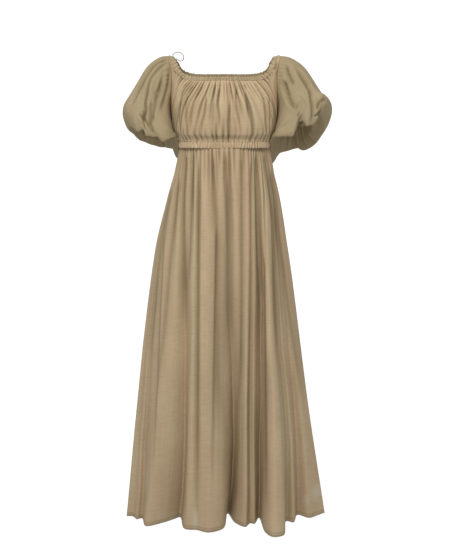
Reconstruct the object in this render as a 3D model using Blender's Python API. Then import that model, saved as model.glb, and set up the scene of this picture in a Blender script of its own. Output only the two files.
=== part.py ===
"""Maxi dress as it is worn: gathered square neck, elastic casing under the bust, bubble sleeves, full skirt.

Metres, +Z up, the front of the dress faces -Y. The origin is where the wearer's shoulders hold it:
midway between the two shoulder strips, level with their undersides.
"""

import math
from collections import namedtuple

import bpy
import numpy as np

# Cloth and seams
WALL = 0.0012
SEAM_GAP = 0.0004
CASING_GAP = 0.0008
CASING_OUT = 0.0016
CASING_IN = 0.0020

# Heights below the shoulder line
WAIST_TOP = -0.2170
WAIST_HEIGHT = 0.0175
WAIST_BOTTOM = WAIST_TOP - WAIST_HEIGHT
SKIRT_LENGTH = 0.9810

# Torso cloth: rounded-box sections, half widths and half depths at each height
TORSO_SQUARENESS = 2.8
Torso = namedtuple("Torso", "height half_width front back")
TORSO = [
    Torso(-0.3600, 0.1500, 0.1120, 0.1080),
    Torso(-0.3000, 0.1340, 0.1010, 0.0970),
    Torso(-0.2345, 0.1190, 0.0900, 0.0850),
    Torso(-0.2170, 0.1190, 0.0905, 0.0850),
    Torso(-0.2000, 0.1270, 0.1060, 0.0900),
    Torso(-0.1750, 0.1330, 0.1120, 0.0945),
    Torso(-0.1300, 0.1370, 0.1130, 0.0985),
    Torso(-0.0900, 0.1390, 0.0985, 0.0985),
    Torso(-0.0500, 0.1400, 0.0820, 0.0945),
    Torso(0.0100, 0.1425, 0.0750, 0.0800),
]

# Neck casing, from the shoulder to the centre of one side: its neck edge and its lower edge
Edge = namedtuple("Edge", "neck_x neck_y neck_z low_x low_y low_z")
NECK_FRONT = [
    Edge(0.1235, 0.000, 0.0040, 0.1345, 0.000, 0.0010),
    Edge(0.1190, -0.040, -0.0200, 0.1320, -0.042, -0.0245),
    Edge(0.1100, -0.062, -0.0460, 0.1200, -0.060, -0.0535),
    Edge(0.0900, -0.0745, -0.0560, 0.0940, -0.0775, -0.0675),
    Edge(0.0000, -0.0845, -0.0580, 0.0000, -0.0900, -0.0695),
]
NECK_BACK = [
    Edge(0.1235, 0.000, 0.0040, 0.1345, 0.000, 0.0010),
    Edge(0.1190, 0.040, -0.0120, 0.1330, 0.042, -0.0165),
    Edge(0.1100, 0.067, -0.0340, 0.1205, 0.067, -0.0415),
    Edge(0.0880, 0.0825, -0.0430, 0.0920, 0.0850, -0.0545),
    Edge(0.0000, 0.0925, -0.0450, 0.0000, 0.0960, -0.0565),
]

# Armhole: an upright drop on the side of the torso, narrowing to the underarm
ARMHOLE_TAPER = 2.4
ARMHOLE_TOP = -0.0030
ARMHOLE_BOTTOM = -0.1680
ARMHOLE_FRONT = 0.0440
ARMHOLE_BACK = 0.0460

# Bodice gathers: those that fan out to the armhole and side seam on each side, then those that reach the waist
SIDE_GATHERS = 8
FRONT_WAIST_GATHERS = 28
BACK_WAIST_GATHERS = 12
COLUMNS_PER_GATHER = 3
# Where the side gathers start on the neck casing and end on the armhole: metres along each from the shoulder
Stop = namedtuple("Stop", "gather neck edge")
STRAP_STOP = Stop(3.0, 0.064, 0.062)
UNDERARM_GATHER = 19 / 3
LAST_NECK_X = 0.0920
# The columns meet that edge squarely over this length, and pass this far in front of the armhole
EDGE_REACH = 0.018
EVENING_STEPS = 300
AHEAD_Y = 0.066
AHEAD_Z = -0.124
AHEAD_FADE = 0.060
EDGE_STEPS = 1201
EDGE_BLEND = 61
BODICE_ROWS = (0.0, 0.13, 0.36, 0.63, 0.90, 1.0)
EVENED_ROWS = 16
NECK_GATHER_DEPTH = 0.0010
BODICE_GATHER_DEPTH = 0.0020
GATHER_UNEVENNESS = 0.22

# Skirt envelope that the fold crests touch, by share of the skirt's length
Skirt = namedtuple("Skirt", "share half_width front back shift")
SKIRT = [
    Skirt(0.00, 0.1165, 0.0880, 0.0835, 0.000),
    Skirt(0.04, 0.1230, 0.0950, 0.0900, 0.000),
    Skirt(0.13, 0.1450, 0.1100, 0.1080, -0.002),
    Skirt(0.27, 0.1730, 0.1280, 0.1290, -0.007),
    Skirt(0.50, 0.2045, 0.1480, 0.1490, -0.007),
    Skirt(0.68, 0.2261, 0.1600, 0.1620, -0.005),
    Skirt(1.00, 0.2669, 0.1800, 0.1800, 0.004),
]
SKIRT_ROWS = (0.0, 0.02, 0.06, 0.13, 0.23, 0.37, 0.53, 0.69, 0.85, 1.0)
BACK_SKIRT_ROWS = (0.0, 0.03, 0.10, 0.22, 0.38, 0.58, 0.79, 1.0)
FRONT_SKIRT_GATHERS = 24
BACK_SKIRT_GATHERS = 16
COLUMNS_PER_SKIRT_GATHER = 4
SKIRT_GATHER_DEPTH = 0.0022
HEM_RISE = 0.045
# How much later than in proportion the folds deepen on their way down
LATE_DEEPENING = 0.45

# Crests and valleys of the hem, from one side seam to the other: place across, and depth from the side plane
Fold = namedtuple("Fold", "hem_x depth rise")
FRONT_FOLDS = [
    Fold(-0.262, 0.000, 1.0),
    Fold(-0.266, 0.022, 1.0),
    Fold(-0.249, 0.030, 0.9),
    Fold(-0.236, 0.052, 1.0),
    Fold(-0.224, 0.046, 0.8),
    Fold(-0.208, 0.100, 1.0),
    Fold(-0.165, 0.080, 1.2),
    Fold(-0.135, 0.056, 1.0),
    Fold(-0.119, 0.046, 0.7),
    Fold(-0.100, 0.126, 1.0),
    Fold(-0.075, 0.132, 1.0),
    Fold(-0.045, 0.148, 1.2),
    Fold(-0.002, 0.124, 1.2),
    Fold(0.010, 0.028, 1.0),
    Fold(0.027, 0.085, 1.0),
    Fold(0.050, 0.112, 1.1),
    Fold(0.064, 0.088, 0.9),
    Fold(0.074, 0.092, 0.9),
    Fold(0.087, 0.052, 0.7),
    Fold(0.102, 0.148, 1.0),
    Fold(0.122, 0.176, 1.1),
    Fold(0.147, 0.164, 1.1),
    Fold(0.160, 0.070, 1.0),
    Fold(0.177, 0.078, 1.1),
    Fold(0.192, 0.026, 1.0),
    Fold(0.220, 0.044, 1.1),
    Fold(0.250, 0.018, 1.1),
    Fold(0.266, 0.000, 1.0),
]
BACK_FOLDS = [
    Fold(0.266, 0.000, 1.0),
    Fold(0.240, 0.072, 1.0),
    Fold(0.216, 0.050, 0.9),
    Fold(0.190, 0.118, 1.0),
    Fold(0.164, 0.080, 0.9),
    Fold(0.130, 0.152, 1.1),
    Fold(0.106, 0.098, 0.8),
    Fold(0.070, 0.172, 1.0),
    Fold(0.044, 0.112, 0.9),
    Fold(0.010, 0.178, 1.1),
    Fold(-0.018, 0.108, 0.8),
    Fold(-0.056, 0.174, 1.0),
    Fold(-0.084, 0.106, 0.9),
    Fold(-0.118, 0.152, 1.1),
    Fold(-0.144, 0.086, 0.9),
    Fold(-0.178, 0.126, 1.0),
    Fold(-0.204, 0.064, 0.9),
    Fold(-0.232, 0.082, 1.0),
    Fold(-0.262, 0.000, 1.0),
]
# Long folds of the front, as they run down: place across at the waist and at shares of the skirt's length
Line = namedtuple("Line", "hem_x waist x12 x26 x39 x52 x65 x78 x92")
LINE_SHARES = (0.0, 0.12, 0.26, 0.39, 0.52, 0.65, 0.78, 0.92)
FRONT_LINES = [
    Line(-0.224, -0.1080, -0.1400, -0.1640, -0.1810, -0.1925, -0.2010, -0.2105, -0.2170),
    Line(-0.119, -0.0960, -0.1040, -0.1036, -0.1020, -0.1010, -0.1036, -0.1058, -0.1137),
    Line(-0.075, -0.0640, -0.0660, -0.0670, -0.0680, -0.0690, -0.0710, -0.0714, -0.0716),
    Line(0.010, 0.0042, 0.0065, 0.0115, 0.0130, 0.0160, 0.0196, 0.0221, 0.0150),
    Line(0.064, 0.0650, 0.0691, 0.0686, 0.0680, 0.0666, 0.0650, 0.0650, 0.0653),
    Line(0.087, 0.0765, 0.0828, 0.0864, 0.0929, 0.0905, 0.0923, 0.0889, 0.0887),
    Line(0.160, 0.1020, 0.1252, 0.1302, 0.1334, 0.1396, 0.1530, 0.1605, 0.1609),
]

# Sleeve rings, armhole to cuff: a centre, then the outermost, innermost, front and back points round it
Ring = namedtuple("Ring", "share mid_x mid_z outer_x outer_z inner_x inner_z front_y front_z back_y back_z")
SLEEVE = [
    Ring(0.00, 0.1390, -0.0855, 0.1410, -0.003, 0.1350, -0.168, -0.046, -0.0855, 0.048, -0.0855),
    Ring(0.10, 0.1550, -0.0890, 0.1620, -0.000, 0.1364, -0.182, -0.063, -0.0880, 0.066, -0.0900),
    Ring(0.24, 0.1700, -0.1050, 0.1900, -0.018, 0.1310, -0.206, -0.081, -0.0980, 0.087, -0.1040),
    Ring(0.40, 0.1810, -0.1320, 0.2230, -0.067, 0.1255, -0.227, -0.094, -0.1180, 0.102, -0.1320),
    Ring(0.56, 0.1900, -0.1680, 0.2540, -0.122, 0.1240, -0.246, -0.101, -0.1460, 0.110, -0.1700),
    Ring(0.70, 0.1950, -0.2000, 0.2660, -0.163, 0.1290, -0.259, -0.101, -0.1780, 0.110, -0.2120),
    Ring(0.82, 0.1930, -0.2180, 0.2480, -0.206, 0.1370, -0.250, -0.090, -0.2030, 0.096, -0.2400),
    Ring(0.92, 0.1850, -0.2060, 0.2260, -0.196, 0.1385, -0.210, -0.068, -0.1960, 0.072, -0.2220),
    Ring(1.00, 0.1775, -0.1600, 0.2120, -0.160, 0.1430, -0.160, -0.041, -0.1600, 0.041, -0.1600),
]
SLEEVE_ROWS = (0.0, 0.08, 0.20, 0.34, 0.48, 0.60, 0.70, 0.78, 0.85, 0.92, 1.0)
TROUGH_EASE = 0.7
SLEEVE_COLUMNS = 40
SLEEVE_CLEARANCE = 0.0035
# The bubbles stand a little to the right of the bodice's centre
SLEEVE_SHIFT = 0.0040
# Scalloped lower fold of each bubble: how much it is lifted (or lowered) at each turn from the outer side
Lift = namedtuple("Lift", "turn rise")
RIGHT_FOLD = [
    Lift(0, 0.020), Lift(30, 0.034), Lift(57, 0.046), Lift(74, 0.017), Lift(89, 0.021), Lift(100, 0.040),
    Lift(112, 0.014), Lift(126, 0.017), Lift(150, 0.030), Lift(168, 0.030), Lift(190, -0.006),
    Lift(208, -0.020), Lift(226, -0.010), Lift(244, 0.004), Lift(262, 0.002), Lift(285, -0.010),
    Lift(310, -0.008), Lift(338, 0.008), Lift(360, 0.020),
]
LEFT_FOLD = [
    Lift(0, 0.014), Lift(24, 0.020), Lift(45, 0.021), Lift(62, 0.022), Lift(74, 0.028), Lift(86, 0.002),
    Lift(95, -0.004), Lift(101, 0.016), Lift(110, 0.000), Lift(124, 0.004), Lift(146, 0.022), Lift(166, 0.034),
    Lift(188, 0.002), Lift(203, -0.006), Lift(216, -0.002), Lift(232, 0.018), Lift(275, 0.008),
    Lift(310, 0.008), Lift(340, 0.016), Lift(360, 0.014),
]
# Soft troughs of each sleeve: turn from the shoulder towards the front, in degrees
Trough = namedtuple("Trough", "turn drift depth width begin end")
RIGHT_TROUGHS = [
    Trough(22, 4, 0.009, 12, 0.10, 0.92),
    Trough(50, 10, 0.012, 11, 0.05, 0.80),
    Trough(80, -6, 0.010, 11, 0.20, 0.96),
    Trough(112, 4, 0.010, 12, 0.45, 0.98),
    Trough(150, 4, 0.004, 14, 0.35, 0.95),
    Trough(200, 0, 0.003, 14, 0.35, 0.95),
    Trough(240, 6, 0.007, 13, 0.20, 0.96),
    Trough(276, -4, 0.012, 12, 0.10, 0.95),
    Trough(306, 6, 0.010, 11, 0.08, 0.92),
    Trough(334, -4, 0.009, 11, 0.12, 0.96),
]
LEFT_TROUGHS = [
    Trough(14, -4, 0.010, 11, 0.08, 0.94),
    Trough(42, 8, 0.011, 11, 0.10, 0.92),
    Trough(70, 4, 0.014, 11, 0.30, 0.98),
    Trough(98, -6, 0.010, 12, 0.10, 0.94),
    Trough(132, 4, 0.005, 13, 0.50, 0.98),
    Trough(172, 0, 0.003, 14, 0.35, 0.95),
    Trough(222, 4, 0.005, 13, 0.25, 0.96),
    Trough(258, -6, 0.012, 12, 0.15, 0.95),
    Trough(292, 6, 0.010, 12, 0.08, 0.94),
    Trough(326, -4, 0.011, 11, 0.10, 0.96),
]
HEAD_GATHERS = 10
HEAD_GATHER_DEPTH = 0.0016

# Cuff channel round the arm
CUFF_X = 0.1775
CUFF_TOP = -0.1520
CUFF_HEIGHT = 0.0120
CUFF_RADIUS_X = 0.0345
CUFF_RADIUS_Y = 0.0410
CUFF_SLOPE = 0.14
CUFF_THICK = 0.0030
CUFF_COLUMNS = 24

# Hanger loop: a narrow tape that leaves the inside of the shoulder strip
TAPE_WIDTH = 0.0040
TAPE_THICK = 0.0010
TAPE_ROUTE = [
    (-0.1208, 0.0060, -0.0030),
    (-0.1210, 0.0065, 0.0065),
    (-0.1170, 0.0080, 0.0118),
    (-0.1105, 0.0100, 0.0075),
    (-0.1060, 0.0130, -0.0050),
    (-0.1065, 0.0165, -0.0180),
    (-0.1120, 0.0195, -0.0215),
    (-0.1168, 0.0200, -0.0155),
    (-0.1180, 0.0200, -0.0090),
]

# Colours of the cloth, as linear values
CLOTH = (0.43, 0.33, 0.21, 1.0)
CASING = (0.47, 0.36, 0.23, 1.0)
SLEEVE_CLOTH = (0.37, 0.29, 0.18, 1.0)
TAPE = (0.50, 0.42, 0.30, 1.0)

rng = np.random.default_rng(11)


def smooth(t):
    """Eases from 0 to 1 as t goes from 0 to 1."""
    t = np.clip(t, 0.0, 1.0)
    return t * t * (3 - 2 * t)


def eased(at, keys, values):
    """A smooth curve through the values that never overshoots them."""
    at, keys, values = np.asarray(at, float), np.asarray(keys, float), np.asarray(values, float)
    steps = np.diff(keys)
    slopes = np.diff(values) / steps
    tangents = np.concatenate([slopes[:1], np.zeros(len(slopes) - 1), slopes[-1:]])
    same = slopes[:-1] * slopes[1:] > 0
    safe = np.where(same, slopes[:-1] + slopes[1:], 1.0)
    tangents[1:-1] = np.where(same, 2 * slopes[:-1] * slopes[1:] / safe, 0.0)
    i = np.clip(np.searchsorted(keys, at, side="right") - 1, 0, len(steps) - 1)
    t = np.clip((at - keys[i]) / steps[i], 0.0, 1.0)
    start, end = values[i], values[i + 1]
    return (
        (1 + 2 * t) * (1 - t) ** 2 * start
        + t * (1 - t) ** 2 * steps[i] * tangents[i]
        + t * t * (3 - 2 * t) * end
        + t * t * (t - 1) * steps[i] * tangents[i + 1]
    )


def column(table, name):
    return [getattr(row, name) for row in table]


def from_table(table, name, at):
    """The named column of a table, as a smooth curve over its first column."""
    return eased(at, column(table, table[0]._fields[0]), column(table, name))


def curve_through(points, samples=60):
    """A fine line through the points, by centripetal Catmull-Rom spans."""
    points = np.asarray(points, float)
    ends = np.vstack([2 * points[0] - points[1], points, 2 * points[-1] - points[-2]])
    line = [points[:1]]
    for a, b, c, d in zip(ends, ends[1:], ends[2:], ends[3:]):
        k1 = np.linalg.norm(b - a) ** 0.5
        k2 = k1 + np.linalg.norm(c - b) ** 0.5
        k3 = k2 + np.linalg.norm(d - c) ** 0.5
        t = np.linspace(k1, k2, samples + 1)[1:, None]
        ab = (k1 - t) / k1 * a + t / k1 * b
        bc = (k2 - t) / (k2 - k1) * b + (t - k1) / (k2 - k1) * c
        cd = (k3 - t) / (k3 - k2) * c + (t - k2) / (k3 - k2) * d
        abc = (k2 - t) / k2 * ab + t / k2 * bc
        bcd = (k3 - t) / (k3 - k1) * bc + (t - k1) / (k3 - k1) * cd
        line.append((k2 - t) / (k2 - k1) * abc + (t - k1) / (k2 - k1) * bcd)
    return np.vstack(line)


def lengths_along(line):
    return np.concatenate([[0.0], np.cumsum(np.linalg.norm(np.diff(line, axis=0), axis=1))])


def at_lengths(line, where):
    along = lengths_along(line)
    return np.stack([np.interp(where, along, line[:, k]) for k in range(line.shape[1])], axis=-1)


def at_shares(line, shares):
    """Values of an evenly stepped line at shares of its steps."""
    steps = np.linspace(0.0, 1.0, len(line))
    return np.stack([np.interp(shares, steps, line[:, k]) for k in range(line.shape[1])], axis=-1)


def mirrored_run(half):
    """A whole run from a half that ends on the centre plane: the left side first."""
    half = np.asarray(half, float)
    left = half * (-1, 1, 1)
    return np.vstack([left, half[-2::-1]])


def torso_scale(p):
    """How far inside (under 1) or outside (over 1) the torso section each point is."""
    depth = np.where(
        p[..., 1] < 0,
        from_table(TORSO, "front", p[..., 2]),
        from_table(TORSO, "back", p[..., 2]),
    )
    width = from_table(TORSO, "half_width", p[..., 2])
    n = TORSO_SQUARENESS
    return (np.abs(p[..., 0] / width) ** n + np.abs(p[..., 1] / depth) ** n) ** (1 / n)


def on_torso(p):
    """The points moved straight out, or in, to the torso section at their own height."""
    scale = np.maximum(torso_scale(p), 1e-6)[..., None]
    return np.concatenate([p[..., :2] / scale, p[..., 2:]], axis=-1)


def side_of_torso(y, z):
    depth = np.where(y < 0, from_table(TORSO, "front", z), from_table(TORSO, "back", z))
    n = TORSO_SQUARENESS
    return from_table(TORSO, "half_width", z) * (1 - np.abs(y / depth) ** n) ** (1 / n)


def armhole(turn):
    """The armhole seam of the right side, by turn in radians from the shoulder towards the front."""
    middle = (ARMHOLE_TOP + ARMHOLE_BOTTOM) / 2
    z = middle + (ARMHOLE_TOP - middle) * np.cos(turn)
    taper = 1 + (ARMHOLE_TAPER - 1) * smooth(-np.cos(turn) / 0.5)
    y = np.where(np.sin(turn) > 0, -ARMHOLE_FRONT, ARMHOLE_BACK) * np.abs(np.sin(turn)) ** taper
    return np.stack([side_of_torso(y, z), y, z], axis=-1)


def unit(vectors):
    return vectors / np.maximum(np.linalg.norm(vectors, axis=-1, keepdims=True), 1e-9)


def normals_of(grid, around=False):
    """Unit normals of a grid of rows and columns."""
    if around:
        wide = np.concatenate([grid[:, -1:], grid, grid[:, :1]], axis=1)
        return normals_of(wide)[:, 1:-1]
    return unit(np.cross(np.gradient(grid, axis=0), np.gradient(grid, axis=1)))


def ridge(phase):
    """A gather's section: a rounded top at 0 and a creased valley at a half."""
    return 2 * np.abs(np.cos(np.pi * phase)) - 1


def uneven(count):
    """Gather edges from 0 to count, each moved a little, and the two ends kept."""
    edges = np.arange(count + 1) + rng.uniform(-GATHER_UNEVENNESS, GATHER_UNEVENNESS, count + 1)
    edges[0], edges[-1] = 0, count
    return edges


def new_material(name, colour, roughness):
    material = bpy.data.materials.new(name)
    material.use_nodes = True
    shader = material.node_tree.nodes["Principled BSDF"]
    shader.inputs["Base Color"].default_value = colour
    shader.inputs["Roughness"].default_value = roughness
    shader.inputs["Metallic"].default_value = 0.0
    return material


def new_object(name, points, faces, material):
    mesh = bpy.data.meshes.new(name)
    mesh.from_pydata(np.asarray(points).reshape(-1, 3).tolist(), [], faces)
    mesh.validate()
    mesh.shade_smooth()
    mesh.materials.append(material)
    piece = bpy.data.objects.new(name, mesh)
    bpy.context.scene.collection.objects.link(piece)
    piece.parent = dress
    return piece


def grid_faces(rows, columns, around, flip):
    """Triangles of a grid, closed round its columns if around is set."""
    faces = []
    for r in range(rows - 1):
        for c in range(columns if around else columns - 1):
            d = (c + 1) % columns
            top, low = r * columns, (r + 1) * columns
            pair = ((top + c, low + c, low + d), (top + c, low + d, top + d))
            faces += [face[::-1] if flip else face for face in pair]
    return faces


def cloth_wall(name, outer, outward, material, around=False):
    """A sheet of cloth from a grid of outer points, given its thickness against the outward directions."""
    rows, columns = outer.shape[:2]
    count = rows * columns
    flip = bool((normals_of(outer, around) * outward).sum() < 0)
    faces = grid_faces(rows, columns, around, flip)
    faces += [tuple(count + i for i in reversed(face)) for face in faces]
    edges = [list(range(columns)), list(range(count - 1, count - 1 - columns, -1))]
    if around:
        edges = [edge + edge[:1] for edge in edges]
    else:
        edges.append([r * columns + columns - 1 for r in range(rows)])
        edges.append([r * columns for r in reversed(range(rows))])
    for edge in edges:
        for i, j in zip(edge, edge[1:]):
            rim = (i, j, count + j, count + i)
            faces.append(rim[::-1] if flip else rim)
    points = np.concatenate([outer.reshape(-1, 3), (outer - outward * WALL).reshape(-1, 3)])
    return new_object(name, points, faces, material)


def channel(name, sections, material, around=False):
    """A closed elastic channel, from its sections in order along its run."""
    count, corners = sections.shape[:2]
    faces = []
    for i in range(count if around else count - 1):
        j = (i + 1) % count
        for k in range(corners):
            m = (k + 1) % corners
            faces.append((i * corners + k, j * corners + k, j * corners + m, i * corners + m))
    if not around:
        faces.append(tuple(range(corners)))
        faces.append(tuple((count - 1) * corners + k for k in reversed(range(corners))))
    return new_object(name, sections, faces, material)


def outer_edge(front):
    """The bodice panel's outer edge: down the left armhole and side seam, along the waist, and up the right."""
    turn = np.linspace(0.0, math.pi, 61)
    hole = armhole(turn if front else -turn)
    underarm_z, waist_z = ARMHOLE_BOTTOM, WAIST_TOP + SEAM_GAP
    seam_y = -SEAM_GAP if front else SEAM_GAP
    z = np.linspace(underarm_z, waist_z, 20)[1:]
    seam = np.stack([side_of_torso(np.full_like(z, seam_y), z), np.full_like(z, seam_y), z], axis=-1)
    half_turn = np.linspace(0.0, math.pi / 2, 80)[1:]
    way = -1 if front else 1
    waist = on_torso(
        np.stack(
            [
                np.cos(half_turn) * from_table(TORSO, "half_width", waist_z),
                way * np.sin(half_turn) * from_table(TORSO, "front" if front else "back", waist_z),
                np.full_like(half_turn, waist_z),
            ],
            axis=-1,
        )
    )
    half = np.vstack([hole, seam, waist])
    half[:, 1] = np.minimum(half[:, 1], seam_y) if front else np.maximum(half[:, 1], seam_y)
    lengths = lengths_along(half)
    edge = mirrored_run(half)
    even = np.linspace(0.0, 2 * lengths[-1], EDGE_STEPS)
    steady = at_lengths(edge, even)
    skin = unit(steady * (1, 1, 0))
    inward = unit(np.cross(np.gradient(steady, axis=0), skin)) * (-1 if front else 1)
    window = np.hanning(EDGE_BLEND)
    padded = np.pad(inward, ((EDGE_BLEND // 2, EDGE_BLEND // 2), (0, 0)), mode="edge")
    inward = np.stack([np.convolve(padded[:, k], window, mode="valid") for k in range(3)], axis=-1)
    return edge, unit(inward), lengths[60], lengths[79], lengths[-1]


def neck_lines(table, front, steps):
    """The neck casing's edges at shares of its length, and the way out from the cloth there."""
    seam_y = -SEAM_GAP if front else SEAM_GAP
    edges = []
    for names in (("neck_x", "neck_y", "neck_z"), ("low_x", "low_y", "low_z")):
        half = np.array([[getattr(e, n) for n in names] for e in table])
        half[0, 1] = seam_y
        line = curve_through(mirrored_run(half))
        edges.append(at_lengths(line, steps * lengths_along(line)[-1]))
    high, low = edges
    out = unit(np.cross(low - high, np.gradient(low, axis=0))) * (1 if front else -1)
    out[[0, -1], 1] = 0.0
    return high, low, unit(out)


def evened(grid, onto):
    """The grid with its inner points spread evenly between its fixed edges, each step moved onto the form."""
    grid = grid.copy()
    for _ in range(EVENING_STEPS):
        down = (grid[2:, 1:-1] - grid[:-2, 1:-1]) / 2
        across = (grid[1:-1, 2:] - grid[1:-1, :-2]) / 2
        corners = (grid[2:, 2:] - grid[2:, :-2] - grid[:-2, 2:] + grid[:-2, :-2]) / 4
        a = (across**2).sum(-1, keepdims=True)
        b = (down * across).sum(-1, keepdims=True)
        c = (down**2).sum(-1, keepdims=True)
        spread = a * (grid[2:, 1:-1] + grid[:-2, 1:-1]) + c * (grid[1:-1, 2:] + grid[1:-1, :-2])
        spread -= 2 * b * corners
        grid[1:-1, 1:-1] += 0.7 * (spread / (2 * (a + c)) - grid[1:-1, 1:-1])
        grid[1:-1] = onto(grid)[1:-1]
    return grid


def bodice_grid(front):
    """Outer points of a bodice panel. Each gather runs from the neck casing to the armhole, side seam or waist."""
    table = NECK_FRONT if front else NECK_BACK
    waist_gathers = FRONT_WAIST_GATHERS if front else BACK_WAIST_GATHERS
    total = waist_gathers + 2 * SIDE_GATHERS
    fine = np.linspace(0.0, 1.0, 600)
    _, neck, _ = neck_lines(table, front, fine)
    neck_along = lengths_along(neck)
    neck_length = neck_along[-1]
    last = np.interp(-LAST_NECK_X, neck[:300, 0], neck_along[:300])
    edge, inward, underarm, corner, half = outer_edge(front)

    gathers = np.arange(total * COLUMNS_PER_GATHER + 1) / COLUMNS_PER_GATHER
    middle = SIDE_GATHERS + np.interp(
        gathers - SIDE_GATHERS, np.arange(waist_gathers + 1), uneven(waist_gathers)
    )
    spread = np.where(np.abs(gathers - total / 2) > waist_gathers / 2, gathers, middle)
    from_side = np.minimum(spread, total - spread)
    neck_stop = np.interp(
        from_side, [0, STRAP_STOP.gather, SIDE_GATHERS, total / 2], [0, STRAP_STOP.neck, last, neck_length / 2]
    )
    edge_stop = np.interp(
        from_side,
        [0, STRAP_STOP.gather, UNDERARM_GATHER, SIDE_GATHERS, total / 2],
        [0, STRAP_STOP.edge, underarm, corner, half],
    )
    right = spread > total / 2
    on_neck = np.where(right, neck_length - neck_stop, neck_stop) / neck_length
    on_edge = np.where(right, 2 * half - edge_stop, edge_stop)
    high, top, neck_out = neck_lines(table, front, fine)
    top, neck_out = at_shares(top, on_neck), unit(at_shares(neck_out, on_neck))
    bottom = at_lengths(edge, on_edge)

    down = np.linspace(0.0, 1.0, EVENED_ROWS)[:, None, None]
    span = np.linalg.norm(bottom - top, axis=-1, keepdims=True)
    bend = bottom + at_shares(inward, on_edge / (2 * half)) * np.minimum(span * 0.35, EDGE_REACH)
    lead = top * 0.6 + bend * 0.4
    ahead = np.array([0.135, -AHEAD_Y if front else AHEAD_Y, AHEAD_Z])
    round_it = smooth((edge_stop - underarm * 0.45) / (underarm * 0.45))
    round_it = round_it * (1 - smooth((edge_stop - corner) / AHEAD_FADE))
    ahead = ahead * np.stack([np.where(right, 1, -1)] + [np.ones_like(spread)] * 2, axis=-1)
    lead += round_it[:, None] * (ahead - lead)
    flat = (
        top * (1 - down) ** 3
        + lead * 3 * down * (1 - down) ** 2
        + bend * 3 * down**2 * (1 - down)
        + bottom * down**3
    )

    def settled(g):
        """The strips span from casing to armhole, and the cloth below them lies on the torso."""
        return g + smooth(down / 0.35) * smooth((-0.028 - g[..., 2:]) / 0.045) * (on_torso(g) - g)

    grid = evened(flat, settled)
    picked = np.array(BODICE_ROWS) * (EVENED_ROWS - 1)
    below = np.minimum(picked.astype(int), EVENED_ROWS - 2)
    part = (picked - below)[:, None, None]
    grid = grid[below] * (1 - part) + grid[below + 1] * part
    outward = normals_of(grid) * (1 if front else -1)
    outward[0] = neck_out
    outward[1] = unit(outward[1] + neck_out)
    share = np.array(BODICE_ROWS)[:, None]
    to_waist = smooth((from_side - UNDERARM_GATHER) / (SIDE_GATHERS - UNDERARM_GATHER))
    fade = 1 - (1 - to_waist) * smooth((share - 0.35) / 0.45)
    strip = smooth((from_side - 2.0) / 4.0)
    full = smooth(np.minimum(share / 0.3, (1 - share) / 0.2))
    depth = NECK_GATHER_DEPTH + (BODICE_GATHER_DEPTH - NECK_GATHER_DEPTH) * full
    at_waist = bottom[:, 2] < WAIST_TOP + 2 * SEAM_GAP
    outward[-1, at_waist, 2] = 0.0
    outward = unit(outward)
    height = ridge(gathers + 0.5)[None, :] * depth * fade * strip
    grid = grid + outward * height[..., None]
    grid[..., 1] = np.minimum(grid[..., 1], -SEAM_GAP) if front else np.maximum(grid[..., 1], SEAM_GAP)
    outward[..., 1] = np.where(np.abs(grid[..., 1]) < 2 * SEAM_GAP, 0.0, outward[..., 1])
    return grid, unit(outward)


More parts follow.
